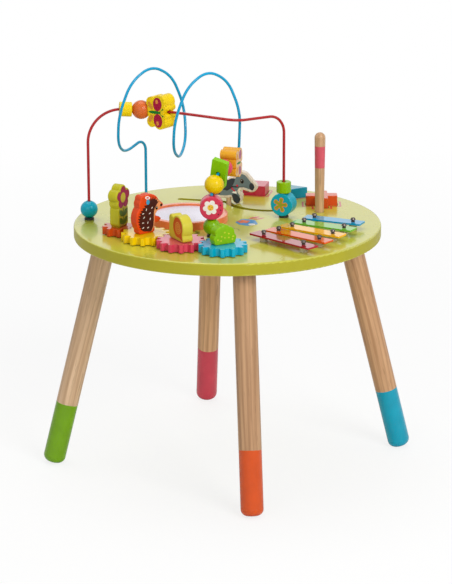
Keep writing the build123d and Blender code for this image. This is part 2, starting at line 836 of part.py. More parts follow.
with BuildPart() as puppy:
    with BuildSketch(puppy_face) as puppy_outline:
        with Locations((20, 36.5)):
            Circle(13.3)
        with Locations((34, 27)):
            Ellipse(9.5, 8.2)
        make_hull()
        with Locations((7, 27)):
            Ellipse(15, 13, rotation=40)
        with Locations((-8, 18.5)):
            Ellipse(23, 10.5)
        with BuildLine():
            Polyline((1, 14), (9, 2), (12, 0), (16, 0), (21, 6), (22, 14), (16, 22), close=True)
        make_face()
        with BuildLine():
            Polyline((-30, 17), (-16, 12), (-21, 0), (-28, 0), close=True)
        make_face()
        with Locations((-25, 25)):
            Ellipse(3.5, 7, rotation=20)
        fillet(notches(puppy_outline), radius=puppy_notch_round)
    extrude(amount=puppy_thickness / 2, both=True)
    fillet(rims(puppy, puppy_face), radius=puppy_edge_round)
    with BuildSketch(Plane(at(*peg_place, belly_height), z_dir=(0, 0, 1))):
        Circle(peg_diameter / 2 + peg_socket_clearance)
    extrude(amount=peg_socket_depth, mode=Mode.SUBTRACT)
    with BuildSketch(Plane(at(*peg_place), z_dir=(0, 0, 1))):
        Circle(peg_diameter / 2 + peg_socket_clearance)
    extrude(amount=belly_height, mode=Mode.SUBTRACT)
save(puppy.part, "puppy")

retainer_top = -table_thickness - retainer_gap
with BuildPart() as puppy_peg:
    with BuildSketch(Plane(at(*peg_place, retainer_top), z_dir=(0, 0, 1))):
        Circle(peg_diameter / 2)
        Circle(retainer_screw_diameter / 2 + fastener_clearance, mode=Mode.SUBTRACT)
    extrude(amount=retainer_screw_depth)
    with BuildSketch(Plane(at(*peg_place, retainer_top + retainer_screw_depth), z_dir=(0, 0, 1))):
        Circle(peg_diameter / 2)
    extrude(amount=belly_height + peg_socket_depth - retainer_top - retainer_screw_depth)
save(puppy_peg.part, "puppy_peg")

with BuildPart() as puppy_retainer:
    with BuildSketch(Plane(at(*peg_place, retainer_top), z_dir=(0, 0, 1))):
        Circle(retainer_diameter / 2)
        Circle(retainer_screw_diameter / 2 + fastener_clearance, mode=Mode.SUBTRACT)
    extrude(amount=-retainer_thickness)
save(puppy_retainer.part, "puppy_retainer")

with BuildPart() as puppy_screw:
    screw_seat = Plane(at(*peg_place, retainer_top - retainer_thickness), z_dir=(0, 0, 1))
    with BuildSketch(screw_seat):
        Circle(retainer_screw_head_diameter / 2)
    extrude(amount=-retainer_screw_head_height)
    with BuildSketch(screw_seat):
        Circle(retainer_screw_diameter / 2)
    extrude(amount=retainer_thickness + retainer_screw_depth - bead_gap)
    screw_face = Plane(screw_seat.origin, z_dir=(0, 0, -1)).offset(retainer_screw_head_height)
    cut_crosses([screw_face], retainer_screw_head_diameter)
save(puppy_screw.part, "puppy_screw")


# ---------------------------------------------------------------- shape blocks and beater
def square_outline(grow=0):
    RectangleRounded(square_side + 2 * grow, square_side + 2 * grow, shape_corner_round + grow)


def triangle_outline(grow=0):
    inradius = triangle_side / (2 * sqrt(3)) + grow
    RegularPolygon(inradius, 3, major_radius=False)


def cross_outline(grow=0):
    RectangleRounded(cross_span + 2 * grow, cross_arm + 2 * grow, shape_corner_round + grow)
    RectangleRounded(cross_arm + 2 * grow, cross_span + 2 * grow, shape_corner_round + grow)


shape_planes = {
    "square": (square_outline, square_centre, square_turn),
    "triangle": (triangle_outline, triangle_centre, 0),
    "cross": (cross_outline, cross_centre, 0),
}
shape_plans = {}
for shape, (outline, centre, turn) in shape_planes.items():
    x_dir = along((cos(radians(turn)), sin(radians(turn)), 0))
    shape_plans[shape] = (outline, Plane(at(*centre), x_dir=x_dir, z_dir=(0, 0, 1)))

for shape, (outline, plan) in shape_plans.items():
    with BuildPart() as block:
        with BuildSketch(plan.offset(-shape_pocket_depth)):
            outline()
        extrude(amount=shape_pocket_depth + shape_rise)
        fillet(block.faces().sort_by(Axis.Z)[-1].edges(), radius=shape_top_round)
    save(block.part, f"block_{shape}")

with BuildPart() as beater:
    beater_plane = Plane(at(*beater_centre), x_dir=(1, 0, 0), z_dir=(0, -1, 0))
    base_radius = beater_base_diameter / 2
    top_radius = beater_top_diameter / 2
    with BuildSketch(beater_plane):
        with BuildLine():
            Line((0, -beater_socket_depth), (base_radius, -beater_socket_depth))
            Line((base_radius, -beater_socket_depth), (base_radius, 0))
            Line((base_radius, 0), (top_radius, beater_rise - top_radius))
            CenterArc((0, beater_rise - top_radius), top_radius, 0, 90)
            Line((0, beater_rise), (0, -beater_socket_depth))
        make_face()
    revolve(axis=Axis(at(*beater_centre), (0, 0, 1)))
save(beater.part, "beater")


# ---------------------------------------------------------------- legs, plates and fasteners
splay_slope = tan(radians(leg_splay_angle))
leg_radius = leg_diameter / 2
foot_end_height = (
    leg_foot_round * (1 - cos(radians(leg_splay_angle)))
    + (leg_radius - leg_foot_round) * sin(radians(leg_splay_angle))
    - leg_foot_flat_depth
)
seat_height = underside - leg_seat_drop


def leg_axis_point(angle, height):
    """A point on a leg's axis."""
    out = leg_splay_radius + (underside - height) * splay_slope
    return Vector(out * cos(radians(angle)), out * sin(radians(angle)), height)


leg_angles = {"right": 0, "back": 90, "left": 180, "front": 270}
for side, angle in leg_angles.items():
    foot = leg_axis_point(angle, foot_end_height)
    seat = leg_axis_point(angle, seat_height)
    with BuildPart() as leg:
        with BuildSketch(axis_plane(foot, seat - foot)):
            Circle(leg_radius)
        extrude(amount=(seat - foot).length)
        fillet(leg.edges().filter_by(GeomType.CIRCLE).sort_by(Axis.Z)[0], radius=leg_foot_round)
        fillet(leg.edges().filter_by(GeomType.CIRCLE).sort_by(Axis.Z)[-1], radius=leg_top_round)
        with BuildSketch(axis_plane(seat, foot - seat)):
            Circle(leg_bolt_diameter / 2 + fastener_clearance)
        extrude(amount=leg_bolt_depth, mode=Mode.SUBTRACT)
        split(bisect_by=Plane.XY, keep=Keep.TOP)
    save(leg.part, f"leg_{side}")

plate_bottom = underside - plate_thickness

with BuildPart() as leg_plates:
    with BuildSketch(Plane.XY.offset(plate_bottom)):
        with PolarLocations(leg_splay_radius, 4):
            RectangleRounded(plate_width, plate_width, plate_corner_round)
    extrude(amount=plate_thickness)
    for angle in leg_angles.values():
        seat = leg_axis_point(angle, seat_height)
        hip = leg_axis_point(angle, underside)
        with BuildSketch(axis_plane(seat, hip - seat)):
            Circle(plate_boss_diameter / 2)
        extrude(amount=leg_seat_drop + plate_boss_diameter)
    split(bisect_by=Plane.XY.offset(underside), keep=Keep.BOTTOM)
    for angle in leg_angles.values():
        seat = leg_axis_point(angle, seat_height)
        hip = leg_axis_point(angle, underside)
        with BuildSketch(axis_plane(seat, hip - seat)):
            Circle(leg_bolt_diameter / 2 + fastener_clearance)
        extrude(amount=2 * leg_seat_drop, mode=Mode.SUBTRACT)
    with BuildSketch(Plane.XY.offset(plate_bottom)):
        with PolarLocations(leg_splay_radius, 4):
            with GridLocations(plate_screw_spacing, plate_screw_spacing, 2, 2):
                Circle(plate_screw_diameter / 2 + fastener_clearance)
    extrude(amount=plate_thickness, mode=Mode.SUBTRACT)
save(leg_plates.part, "leg_plates")

with BuildPart() as leg_plate_screws:
    with BuildSketch(Plane.XY.offset(plate_bottom)):
        with PolarLocations(leg_splay_radius, 4):
            with GridLocations(plate_screw_spacing, plate_screw_spacing, 2, 2):
                Circle(plate_screw_head_diameter / 2)
    extrude(amount=-plate_screw_head_height)
    with BuildSketch(Plane.XY.offset(plate_bottom)):
        with PolarLocations(leg_splay_radius, 4):
            with GridLocations(plate_screw_spacing, plate_screw_spacing, 2, 2):
                Circle(plate_screw_diameter / 2)
    extrude(amount=plate_thickness + plate_screw_depth)
    for angle in leg_angles.values():
        hub = Vector(leg_splay_radius * cos(radians(angle)), leg_splay_radius * sin(radians(angle)))
        head_plane = Plane((hub.X, hub.Y, plate_bottom - plate_screw_head_height), z_dir=(0, 0, -1))
        spots = GridLocations(plate_screw_spacing, plate_screw_spacing, 2, 2)
        cut_crosses([head_plane], plate_screw_head_diameter, spots)
save(leg_plate_screws.part, "leg_plate_screws")

with BuildPart() as leg_bolts:
    for angle in leg_angles.values():
        seat = leg_axis_point(angle, seat_height)
        hip = leg_axis_point(angle, underside)
        bolt_axis = (hip - seat).normalized()
        with BuildSketch(axis_plane(seat - bolt_axis * (leg_bolt_depth - 1), bolt_axis)):
            Circle(leg_bolt_diameter / 2)
        extrude(amount=leg_bolt_depth - 1 + leg_bolt_reach)
save(leg_bolts.part, "leg_bolts")


# ---------------------------------------------------------------- tabletop
with BuildPart() as tabletop:
    with BuildSketch(Plane.XY.offset(underside)):
        Circle(table_diameter / 2)
    extrude(amount=table_thickness)
    fillet(tabletop.edges(), radius=table_edge_round)

    # the groove, right through
    with BuildSketch(play) as groove:
        with BuildLine() as groove_path:
            Line(groove_start, groove_corner)
            Line(groove_corner, groove_arc_start)
            fillet(groove_path.vertices().sort_by_distance(groove_corner)[0], radius=groove_small_bend)
            CenterArc(
                groove_arc_centre,
                groove_arc_radius,
                groove_arc_first_angle,
                -90 - groove_arc_first_angle,
            )
            groove_low = (groove_arc_centre[0], groove_arc_centre[1] - groove_arc_radius)
            Line(groove_low, (groove_low[0] + groove_tail, groove_low[1]))
        SlotArc(groove_path.wire(), groove_width)
    extrude(amount=-table_thickness, mode=Mode.SUBTRACT)

    # pockets for the shape blocks
    for outline, plan in shape_plans.values():
        with BuildSketch(plan):
            outline(shape_clearance)
        extrude(amount=-shape_pocket_depth, mode=Mode.SUBTRACT)

    # the beater's socket and the well under the drum
    with BuildSketch(play):
        with Locations(beater_centre):
            Circle(beater_base_diameter / 2 + beater_socket_clearance)
    extrude(amount=-beater_socket_depth, mode=Mode.SUBTRACT)
    with BuildSketch(play):
        with Locations(drum_centre):
            Circle(drum_well_diameter / 2)
    extrude(amount=-drum_well_depth, mode=Mode.SUBTRACT)

    # holes for the wires' grommets and ends
    with BuildSketch(play):
        with Locations(*wire_feet):
            Circle(grommet_neck_diameter / 2 + fastener_clearance)
    extrude(amount=-grommet_neck_length - bead_gap, mode=Mode.SUBTRACT)
    with BuildSketch(play):
        with Locations(*wire_feet):
            Circle(wire_radius + fastener_clearance)
    extrude(amount=-table_thickness, mode=Mode.SUBTRACT)

    # holes for the gears' screws
    with BuildSketch(play):
        with Locations(*gear_centres):
            Circle(gear_screw_diameter / 2 + fastener_clearance)
    extrude(amount=-gear_screw_depth - bead_gap, mode=Mode.SUBTRACT)

    # holes for the chime bars' screws
    for bar_length, bar_plane in bars:
        with BuildSketch(bar_plane):
            with GridLocations(bar_length * bar_hole_share, 1, 2, 1):
                Circle(bar_screw_diameter / 2 + fastener_clearance)
        extrude(amount=-bar_screw_depth - bead_gap, mode=Mode.SUBTRACT)

    # holes underneath for the leg plates' screws and the leg bolts' ends
    with BuildSketch(Plane.XY.offset(underside)):
        with PolarLocations(leg_splay_radius, 4):
            with GridLocations(plate_screw_spacing, plate_screw_spacing, 2, 2):
                Circle(plate_screw_diameter / 2 + fastener_clearance)
    extrude(amount=plate_screw_depth + bead_gap, mode=Mode.SUBTRACT)
    for angle in leg_angles.values():
        seat = leg_axis_point(angle, seat_height)
        hip = leg_axis_point(angle, underside)
        with BuildSketch(axis_plane(seat, hip - seat)):
            Circle(leg_bolt_diameter / 2 + 2 * fastener_clearance)
        extrude(amount=leg_bolt_reach + 1, mode=Mode.SUBTRACT)
save(tabletop.part, "tabletop")
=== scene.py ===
import json
import math

import bmesh
import bpy
from mathutils import Matrix, Vector


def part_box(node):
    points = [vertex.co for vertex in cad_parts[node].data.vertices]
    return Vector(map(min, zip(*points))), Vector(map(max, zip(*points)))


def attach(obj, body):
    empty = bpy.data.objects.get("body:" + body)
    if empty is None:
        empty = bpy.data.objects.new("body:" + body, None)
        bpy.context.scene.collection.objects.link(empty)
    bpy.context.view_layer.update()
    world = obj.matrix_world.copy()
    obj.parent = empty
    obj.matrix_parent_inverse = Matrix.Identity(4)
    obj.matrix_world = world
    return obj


# Looks for a toddler's round activity table. Metres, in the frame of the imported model; the toys'
# places are in millimetres on their own axes, turned from the legs' about the table's axis.

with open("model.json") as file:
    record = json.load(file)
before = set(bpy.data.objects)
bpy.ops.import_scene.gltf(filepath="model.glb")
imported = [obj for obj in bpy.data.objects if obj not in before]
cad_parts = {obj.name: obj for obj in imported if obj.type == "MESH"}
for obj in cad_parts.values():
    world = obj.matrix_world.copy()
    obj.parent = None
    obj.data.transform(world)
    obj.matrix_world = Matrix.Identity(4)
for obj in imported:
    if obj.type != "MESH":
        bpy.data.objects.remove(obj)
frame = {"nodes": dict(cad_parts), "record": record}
nodes = frame["nodes"]
bodies = frame["record"]["behaviour"]["bodies"]
body_of = {name: body for body, names in bodies.items() for name in names}
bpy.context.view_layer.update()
scene = bpy.context.scene

MM = 0.001
board_low, board_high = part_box("tabletop")
board_top = board_high.z
play_turn = math.radians(-7.5)


def at(x, y, z=0.0):
    """The point at x, y on the toys' axes, z above the board, all in millimetres."""
    point = Matrix.Rotation(play_turn, 3, "Z") @ Vector((x, y, z)) * MM
    return point + Vector((0, 0, board_top))


def level_way(angle):
    """The level direction at some degrees from the toys' x axis."""
    turned = math.radians(angle) + play_turn
    return Vector((math.cos(turned), math.sin(turned), 0))


def plane(origin, right, up):
    """A flat place to draw on: its matrix takes millimetres right, up and out of it to the frame."""
    right, up = right.normalized(), up.normalized()
    out = right.cross(up)
    axes = Matrix((right, up, out)).transposed().to_4x4()
    return Matrix.Translation(origin) @ axes @ Matrix.Scale(MM, 4)


def both_faces(front, thickness):
    """A board's front and its back, the back as it would be seen through the board."""
    back = front @ Matrix.Translation((0, 0, -thickness)) @ Matrix.Diagonal((1, 1, -1, 1))
    return front, back


def upright_faces(centre, angle, height, thickness):
    """The faces of an upright board that stands at centre and looks angle degrees from the toys' x axis."""
    out = level_way(angle)
    right = Vector((-out.y, out.x, 0))
    front = plane(at(*centre, height) + out * thickness / 2 * MM, right, Vector((0, 0, 1)))
    return both_faces(front, thickness)


def new_object(name, data):
    """An object in the scene that holds the given data."""
    made = bpy.data.objects.new(name, data)
    scene.collection.objects.link(made)
    return made


# ---------------------------------------------------------------- camera
camera_turn = math.radians(-7.463)
camera_back = 3.6177
camera_rise = 0.9664
camera_pitch = math.radians(16.49)
camera_yaw = math.radians(-0.036)
camera_roll = math.radians(-0.156)

camera_data = bpy.data.cameras.new("camera")
camera_data.sensor_width = 36
camera_data.lens = 161.04
camera_data.clip_end = 60
camera = new_object("camera", camera_data)
camera.matrix_world = (
    Matrix.Rotation(camera_turn, 4, "Z")
    @ Matrix.Translation((0, -camera_back, board_top + camera_rise))
    @ Matrix.Rotation(-camera_yaw, 4, "Z")
    @ Matrix.Rotation(math.pi / 2 - camera_pitch, 4, "X")
    @ Matrix.Rotation(camera_roll, 4, "Z")
)
scene.camera = camera
scene.view_settings.view_transform = "Standard"


# ---------------------------------------------------------------- node helpers
def srgb(red, green, blue):
    """A colour from its values out of 255, as the linear values that nodes take."""

    def linear(value):
        value /= 255
        return value / 12.92 if value <= 0.04045 else ((value + 0.055) / 1.055) ** 2.4

    return (linear(red), linear(green), linear(blue), 1.0)


def shade(colour, factor):
    """The same colour, lighter or darker."""
    return tuple(min(1.0, channel * factor) for channel in colour[:3]) + (1.0,)


def add(tree, kind, inputs=None, **settings):
    """A new node: its settings, and its inputs as values or as other nodes' outputs."""
    made = tree.nodes.new(kind)
    for key, value in settings.items():
        setattr(made, key, value)
    for key, value in (inputs or {}).items():
        if isinstance(value, bpy.types.NodeSocket):
            tree.links.new(value, made.inputs[key])
        else:
            made.inputs[key].default_value = value
    return made


def new_material(name, **constants):
    """A material, its tree and its shader, with the shader's constant sockets set."""
    made = bpy.data.materials.new(name)
    made.use_nodes = True
    shader = made.node_tree.nodes["Principled BSDF"]
    for key, value in constants.items():
        shader.inputs[key.replace("_", " ")].default_value = value
    return made, made.node_tree, shader


def coordinates(tree):
    """Each point's place, in metres."""
    return add(tree, "ShaderNodeTexCoord").outputs["Object"]


def grain_coordinates(tree, stretch, turn=(0, 0, 0)):
    """Each point's place, turned and then stretched, for a pattern that runs along the turned z."""
    turned = add(tree, "ShaderNodeMapping", {"Vector": coordinates(tree), "Rotation": turn})
    return add(tree, "ShaderNodeMapping", {"Vector": turned.outputs[0], "Scale": stretch}).outputs[0]


def noise(tree, vector, scale, detail=3.0, roughness=0.5, distortion=0.0):
    """Soft noise about 0.5."""
    inputs = {
        "Vector": vector,
        "Scale": scale,
        "Detail": detail,
        "Roughness": roughness,
        "Distortion": distortion,
    }
    return add(tree, "ShaderNodeTexNoise", inputs).outputs["Fac"]


def spread(tree, value, low, high, from_low=0.3, from_high=0.7):
    """A value that runs from low to high as the input does from from_low to from_high."""
    inputs = {"Value": value, 1: from_low, 2: from_high, 3: low, 4: high}
    return add(tree, "ShaderNodeMapRange", inputs).outputs["Result"]


def blend_colours(tree, factor, first, second):
    """The first colour at a factor of 0 and the second at 1."""
    inputs = {"Factor": factor, 6: first, 7: second}
    return add(tree, "ShaderNodeMix", inputs, data_type="RGBA").outputs[2]


def maths(tree, operation, first, second=0.0):
    """One operation on one or two values."""
    return add(tree, "ShaderNodeMath", {0: first, 1: second}, operation=operation).outputs[0]


def eased_normal(tree, radius):
    """The normal with its edges eased."""
    return add(tree, "ShaderNodeBevel", {"Radius": radius}, samples=4).outputs[0]


def edge_nearness(tree, eased):
    """0 on a face and up to 1 at an edge, from how far the eased normal leans from the true one."""
    true = add(tree, "ShaderNodeNewGeometry").outputs["Normal"]
    facing = add(tree, "ShaderNodeVectorMath", {0: eased, 1: true}, operation="DOT_PRODUCT")
    return spread(tree, facing.outputs["Value"], 1.0, 0.0, 0.75, 0.99)


def levelness(tree):
    """1 on a level surface and 0 on an upright one."""
    way = add(tree, "ShaderNodeNewGeometry").outputs["True Normal"]
    rise = add(tree, "ShaderNodeSeparateXYZ", {"Vector": way}).outputs["Z"]
    return spread(tree, maths(tree, "ABSOLUTE", rise), 0, 1, 0.3, 0.8)


def above(tree, height, limit, blur=0.1 * MM):
    """0 below a limit and 1 above it."""
    return spread(tree, height, 0, 1, limit - blur, limit + blur)


def clouded(tree, clouds, colour, darker, lighter):
    """A colour that drifts between two shades of itself."""
    return blend_colours(tree, spread(tree, clouds, 0, 1), shade(colour, darker), shade(colour, lighter))


def worn(tree, eased, share, colour, lighter):
    """A colour that thins towards a lighter one along the edges."""
    return blend_colours(tree, maths(tree, "MULTIPLY", edge_nearness(tree, eased), share), colour, lighter)


def coat_by_level(tree, shader, upright, level):
    """A clear coat of one weight on upright surfaces and another on level ones."""
    weight = spread(tree, levelness(tree), upright, level, 0, 1)
    tree.links.new(weight, shader.inputs["Coat Weight"])


def finish_with(tree, shader, colour, roughness, eased, height, depth):
    """Links what varies over a surface to its shader."""
    tree.links.new(colour, shader.inputs["Base Color"])
    tree.links.new(roughness, shader.inputs["Roughness"])
    bump = add(tree, "ShaderNodeBump", {"Height": height, "Distance": depth, "Normal": eased})
    tree.links.new(bump.outputs[0], shader.inputs["Normal"])


# ---------------------------------------------------------------- materials
def paint(name, colour, roughness=0.3, coat=0.06, top=None, edge=0.6 * MM):
    """Lacquer on sanded wood: the grain shows faintly, and the colour thins on the edges.
    A board's level top may be polished further."""
    specular = 0.16 if top is None else 0.3
    made, tree, shader = new_material(
        name, IOR=1.5, Specular_IOR_Level=specular, Coat_Weight=coat, Coat_Roughness=0.1
    )
    fibres = noise(tree, grain_coordinates(tree, (1, 1, 0.06)), 800, detail=2)
    clouds = noise(tree, grain_coordinates(tree, (1, 1, 0.4)), 60, detail=4)
    eased = eased_normal(tree, edge)
    patchy = clouded(tree, clouds, colour, 0.95, 1.04)
    streaked = blend_colours(tree, spread(tree, fibres, 0, 0.1, 0.5, 0.75), patchy, shade(colour, 0.7))
    tinted = worn(tree, eased, 0.22, streaked, shade(colour, 1.35))
    sheen = spread(tree, clouds, roughness - 0.04, roughness + 0.05)
    if top is not None:
        coat_by_level(tree, shader, upright=coat, level=top)
    finish_with(tree, shader, tinted, sheen, eased, fibres, depth=0.01 * MM)
    return made


def wood_colour(tree, light, dark, turn=(0, 0, 0)):
    """Pale wood whose grain runs along the turned z and wanders a little: its colour, the height of
    its fibres and its bands."""
    bands = noise(tree, grain_coordinates(tree, (1, 1, 0.03), turn), 150, roughness=0.6, distortion=0.4)
    fibres = noise(tree, grain_coordinates(tree, (1, 1, 0.015), turn), 900, roughness=0.65)
    flecks = noise(tree, grain_coordinates(tree, (1, 0.35, 0.07), turn), 560, detail=1)
    ring_inputs = {
        "Vector": grain_coordinates(tree, (1, 0.3, 0.1), turn),
        "Scale": 46,
        "Distortion": 12,
        "Detail": 1.5,
        "Detail Scale": 0.6,
    }
    rings = add(tree, "ShaderNodeTexWave", ring_inputs).outputs["Fac"]
    banded = blend_colours(tree, spread(tree, bands, 0, 0.85, 0.36, 0.64), light, dark)
    ringed = blend_colours(tree, spread(tree, rings, 0, 0.5, 0.35, 1), banded, shade(dark, 0.86))
    lined = blend_colours(tree, spread(tree, fibres, 0, 0.26, 0.48, 0.7), ringed, shade(dark, 0.7))
    flecked = blend_colours(tree, spread(tree, flecks, 0, 0.4, 0.64, 0.72), lined, shade(dark, 0.5))
    return flecked, fibres, bands


wood_grain_depth = 0.08 * MM


def wood(name, light, dark):
    """Bare sanded wood."""
    made, tree, shader = new_material(
        name, IOR=1.48, Specular_IOR_Level=0.3, Coat_Weight=0.08, Coat_Roughness=0.2
    )
    colour, fibres, bands = wood_colour(tree, light, dark)
    eased = eased_normal(tree, 0.6 * MM)
    finish_with(tree, shader, colour, spread(tree, bands, 0.32, 0.46), eased, fibres, wood_grain_depth)
    return made


def banded_wood(name, light, dark, band, low, high):
    """Turned wood with one painted band between two heights."""
    made, tree, shader = new_material(
        name, IOR=1.48, Specular_IOR_Level=0.3, Coat_Weight=0.1, Coat_Roughness=0.18
    )
    bare, fibres, bands = wood_colour(tree, light, dark)
    place = coordinates(tree)
    height = add(tree, "ShaderNodeSeparateXYZ", {"Vector": place}).outputs["Z"]
    inside = maths(tree, "SUBTRACT", above(tree, height, low), above(tree, height, high))
    painted = clouded(tree, noise(tree, place, 60, detail=4), band, 0.93, 1.06)
    colour = blend_colours(tree, inside, bare, painted)
    eased = eased_normal(tree, 0.6 * MM)
    relief = maths(tree, "ADD", fibres, maths(tree, "MULTIPLY", inside, 0.8))
    finish_with(tree, shader, colour, spread(tree, bands, 0.3, 0.42), eased, relief, wood_grain_depth)
    return made


def leg_finish(name, light, dark, tip, foot, along, tip_length):
    """A clear-lacquered dowel with a dipped tip: foot and along give its axis, from the floor up."""
    made, tree, shader = new_material(
        name, IOR=1.48, Specular_IOR_Level=0.22, Coat_Weight=0.1, Coat_Roughness=0.1
    )
    turn = along.rotation_difference(Vector((0, 0, 1))).to_euler()
    bare, fibres, bands = wood_colour(tree, light, dark, turn)
    place = coordinates(tree)
    from_foot = add(tree, "ShaderNodeVectorMath", {0: place, 1: foot}, operation="SUBTRACT").outputs[0]
    rise = add(tree, "ShaderNodeVectorMath", {0: from_foot, 1: along}, operation="DOT_PRODUCT")
    wander = spread(tree, noise(tree, place, 70, detail=2), -0.3 * MM, 0.3 * MM)
    height = maths(tree, "ADD", rise.outputs["Value"], wander)
    bare_share = above(tree, height, tip_length, blur=0.2 * MM)
    dipped = clouded(tree, noise(tree, place, 55, detail=4), tip, 0.93, 1.05)
    colour = blend_colours(tree, bare_share, dipped, bare)
    tree.links.new(spread(tree, bare_share, 0.24, 0.08, 0, 1), shader.inputs["Coat Weight"])
    gloss = spread(tree, bare_share, 0.2, 0.36, 0, 1)
    sheen = maths(tree, "ADD", gloss, spread(tree, bands, -0.03, 0.05))
    eased = eased_normal(tree, 0.8 * MM)
    film = maths(tree, "MULTIPLY", maths(tree, "SUBTRACT", 1.0, bare_share), 1.6)
    grain = maths(tree, "MULTIPLY", fibres, spread(tree, bare_share, 0.3, 1, 0, 1))
    finish_with(tree, shader, colour, sheen, eased, maths(tree, "ADD", grain, film), wood_grain_depth)
    return made


def enamel(name, colour, roughness=0.22, coat=0.1, top=None, coat_roughness=0.05, edge=0.4 * MM):
    """Hard glossy enamel on metal, thinner along its edges."""
    specular = 0.24 if top is None else 0.34
    made, tree, shader = new_material(
        name, IOR=1.5, Specular_IOR_Level=specular, Coat_Weight=coat, Coat_Roughness=coat_roughness
    )
    place = coordinates(tree)
    clouds = noise(tree, place, 45)
    eased = eased_normal(tree, edge)
    tinted = worn(tree, eased, 0.2, clouded(tree, clouds, colour, 0.95, 1.04), shade(colour, 1.5))
    sheen = spread(tree, clouds, roughness - 0.04, roughness + 0.05)
    if top is not None:
        coat_by_level(tree, shader, upright=coat, level=top)
    finish_with(tree, shader, tinted, sheen, eased, noise(tree, place, 260, detail=2), depth=0.006 * MM)
    return made


def plastic(name, colour, roughness=0.4, subsurface=0.0):
    """Moulded plastic or rubber with fine pores."""
    made, tree, shader = new_material(
        name, IOR=1.49, Subsurface_Weight=subsurface, Subsurface_Scale=2 * MM
    )
    place = coordinates(tree)
    pores = noise(tree, place, 1500, detail=2)
    tinted = clouded(tree, noise(tree, place, 90), colour, 0.9, 1.08)
    sheen = spread(tree, pores, roughness - 0.08, roughness + 0.1)
    finish_with(tree, shader, tinted, sheen, eased_normal(tree, 0.5 * MM), pores, depth=0.02 * MM)
    return made


def sleeve_with_painted_shade(name, colour, collar):
    """Nylon below the chime bars' tops; where it stands out above them it is painted dark, as painted shade
    under the screw heads.
    """
    made, tree, shader = new_material(
        name, IOR=1.49, Subsurface_Weight=0.1, Subsurface_Scale=2 * MM, Specular_IOR_Level=0.3
    )
    place = coordinates(tree)
    height = add(tree, "ShaderNodeSeparateXYZ", {"Vector": place}).outputs["Z"]
    bar_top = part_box("bar_red")[1].z
    nylon = clouded(tree, noise(tree, place, 90), colour, 0.92, 1.05)
    # painted shade: the sleeve turns dark above the bars' tops, under the screw heads
    tinted = blend_colours(tree, above(tree, height, bar_top), nylon, collar)
    pores = noise(tree, place, 1500, detail=2)
    sheen = spread(tree, pores, 0.3, 0.46)
    finish_with(tree, shader, tinted, sheen, eased_normal(tree, 0.4 * MM), pores, depth=0.01 * MM)
    return made


def steel(name, colour, roughness=0.3):
    """Plain scuffed steel."""
    made, tree, shader = new_material(name, Metallic=1.0)
    place = coordinates(tree)
    scuffs = noise(tree, place, 900, roughness=0.7)
    tinted = clouded(tree, noise(tree, place, 120), colour, 0.75, 1.15)
    sheen = spread(tree, scuffs, roughness - 0.08, roughness + 0.15)
    finish_with(tree, shader, tinted, sheen, eased_normal(tree, 0.3 * MM), scuffs, depth=0.02 * MM)
    return made


def board_finish(name, colour, side):
    """Thick polished lacquer: at a low angle it mirrors what stands on it. The rim takes the side colour,
    which for the lime is a darker copy of the top's paint standing in as painted shade, and is less
    polished."""
    made, tree, shader = new_material(
        name, IOR=1.5, Specular_IOR_Level=0.3, Coat_Weight=1.0, Coat_Roughness=0.12
    )
    place = coordinates(tree)
    clouds = noise(tree, place, 9, detail=4)
    level = levelness(tree)
    # upright faces take the side colour; on the lime board that darker colour is painted shade
    light = blend_colours(tree, level, shade(side, 1.06), shade(colour, 1.04))
    deep = blend_colours(tree, level, shade(side, 0.94), shade(colour, 0.96))
    drifting = blend_colours(tree, spread(tree, clouds, 0, 1), deep, light)
    eased = eased_normal(tree, 0.6 * MM)
    tinted = worn(tree, eased, 0.1, drifting, shade(colour, 1.3))
    sheen = maths(tree, "ADD", spread(tree, level, 0.5, 0.24, 0, 1), spread(tree, clouds, 0, 0.1))
    coat_by_level(tree, shader, upright=0.2, level=0.72)
    finish_with(tree, shader, tinted, sheen, eased, noise(tree, place, 90, detail=2), depth=0.006 * MM)
    return made


def drum_skin(name, colour):
    """Stretched film: glossy and faintly puckered."""
    made, tree, shader = new_material(
        name, IOR=1.5, Specular_IOR_Level=0.4, Coat_Weight=0.3, Coat_Roughness=0.12
    )
    place = coordinates(tree)
    clouds = noise(tree, place, 35, detail=4)
    fibres = noise(tree, place, 420)
    tinted = clouded(tree, clouds, colour, 0.96, 1.03)
    puckers = maths(tree, "ADD", clouds, fibres)
    sheen = spread(tree, fibres, 0.25, 0.38)
    finish_with(tree, shader, tinted, sheen, eased_normal(tree, 0.4 * MM), puckers, depth=0.05 * MM)
    return made


# The rim's lime is the top's paint made darker: painted shade on the upright rim.
lime, lime_rim_painted_shade = srgb(189, 187, 58), srgb(163, 156, 18)
leaf_green, tip_orange = srgb(106, 152, 0), srgb(200, 76, 20)
turquoise, crimson = srgb(0, 148, 174), srgb(198, 66, 82)
# The dark brown on the sleeves above the bars is painted shade under the screw heads.
nylon_white, collar_painted_shade = srgb(206, 198, 168), srgb(58, 48, 44)
beater_light, beater_dark, beater_pink = srgb(208, 168, 128), srgb(178, 136, 98), srgb(206, 82, 96)
beater_band = (board_top + 66 * MM, board_top + 98 * MM)
wire_edge = 0.05 * MM

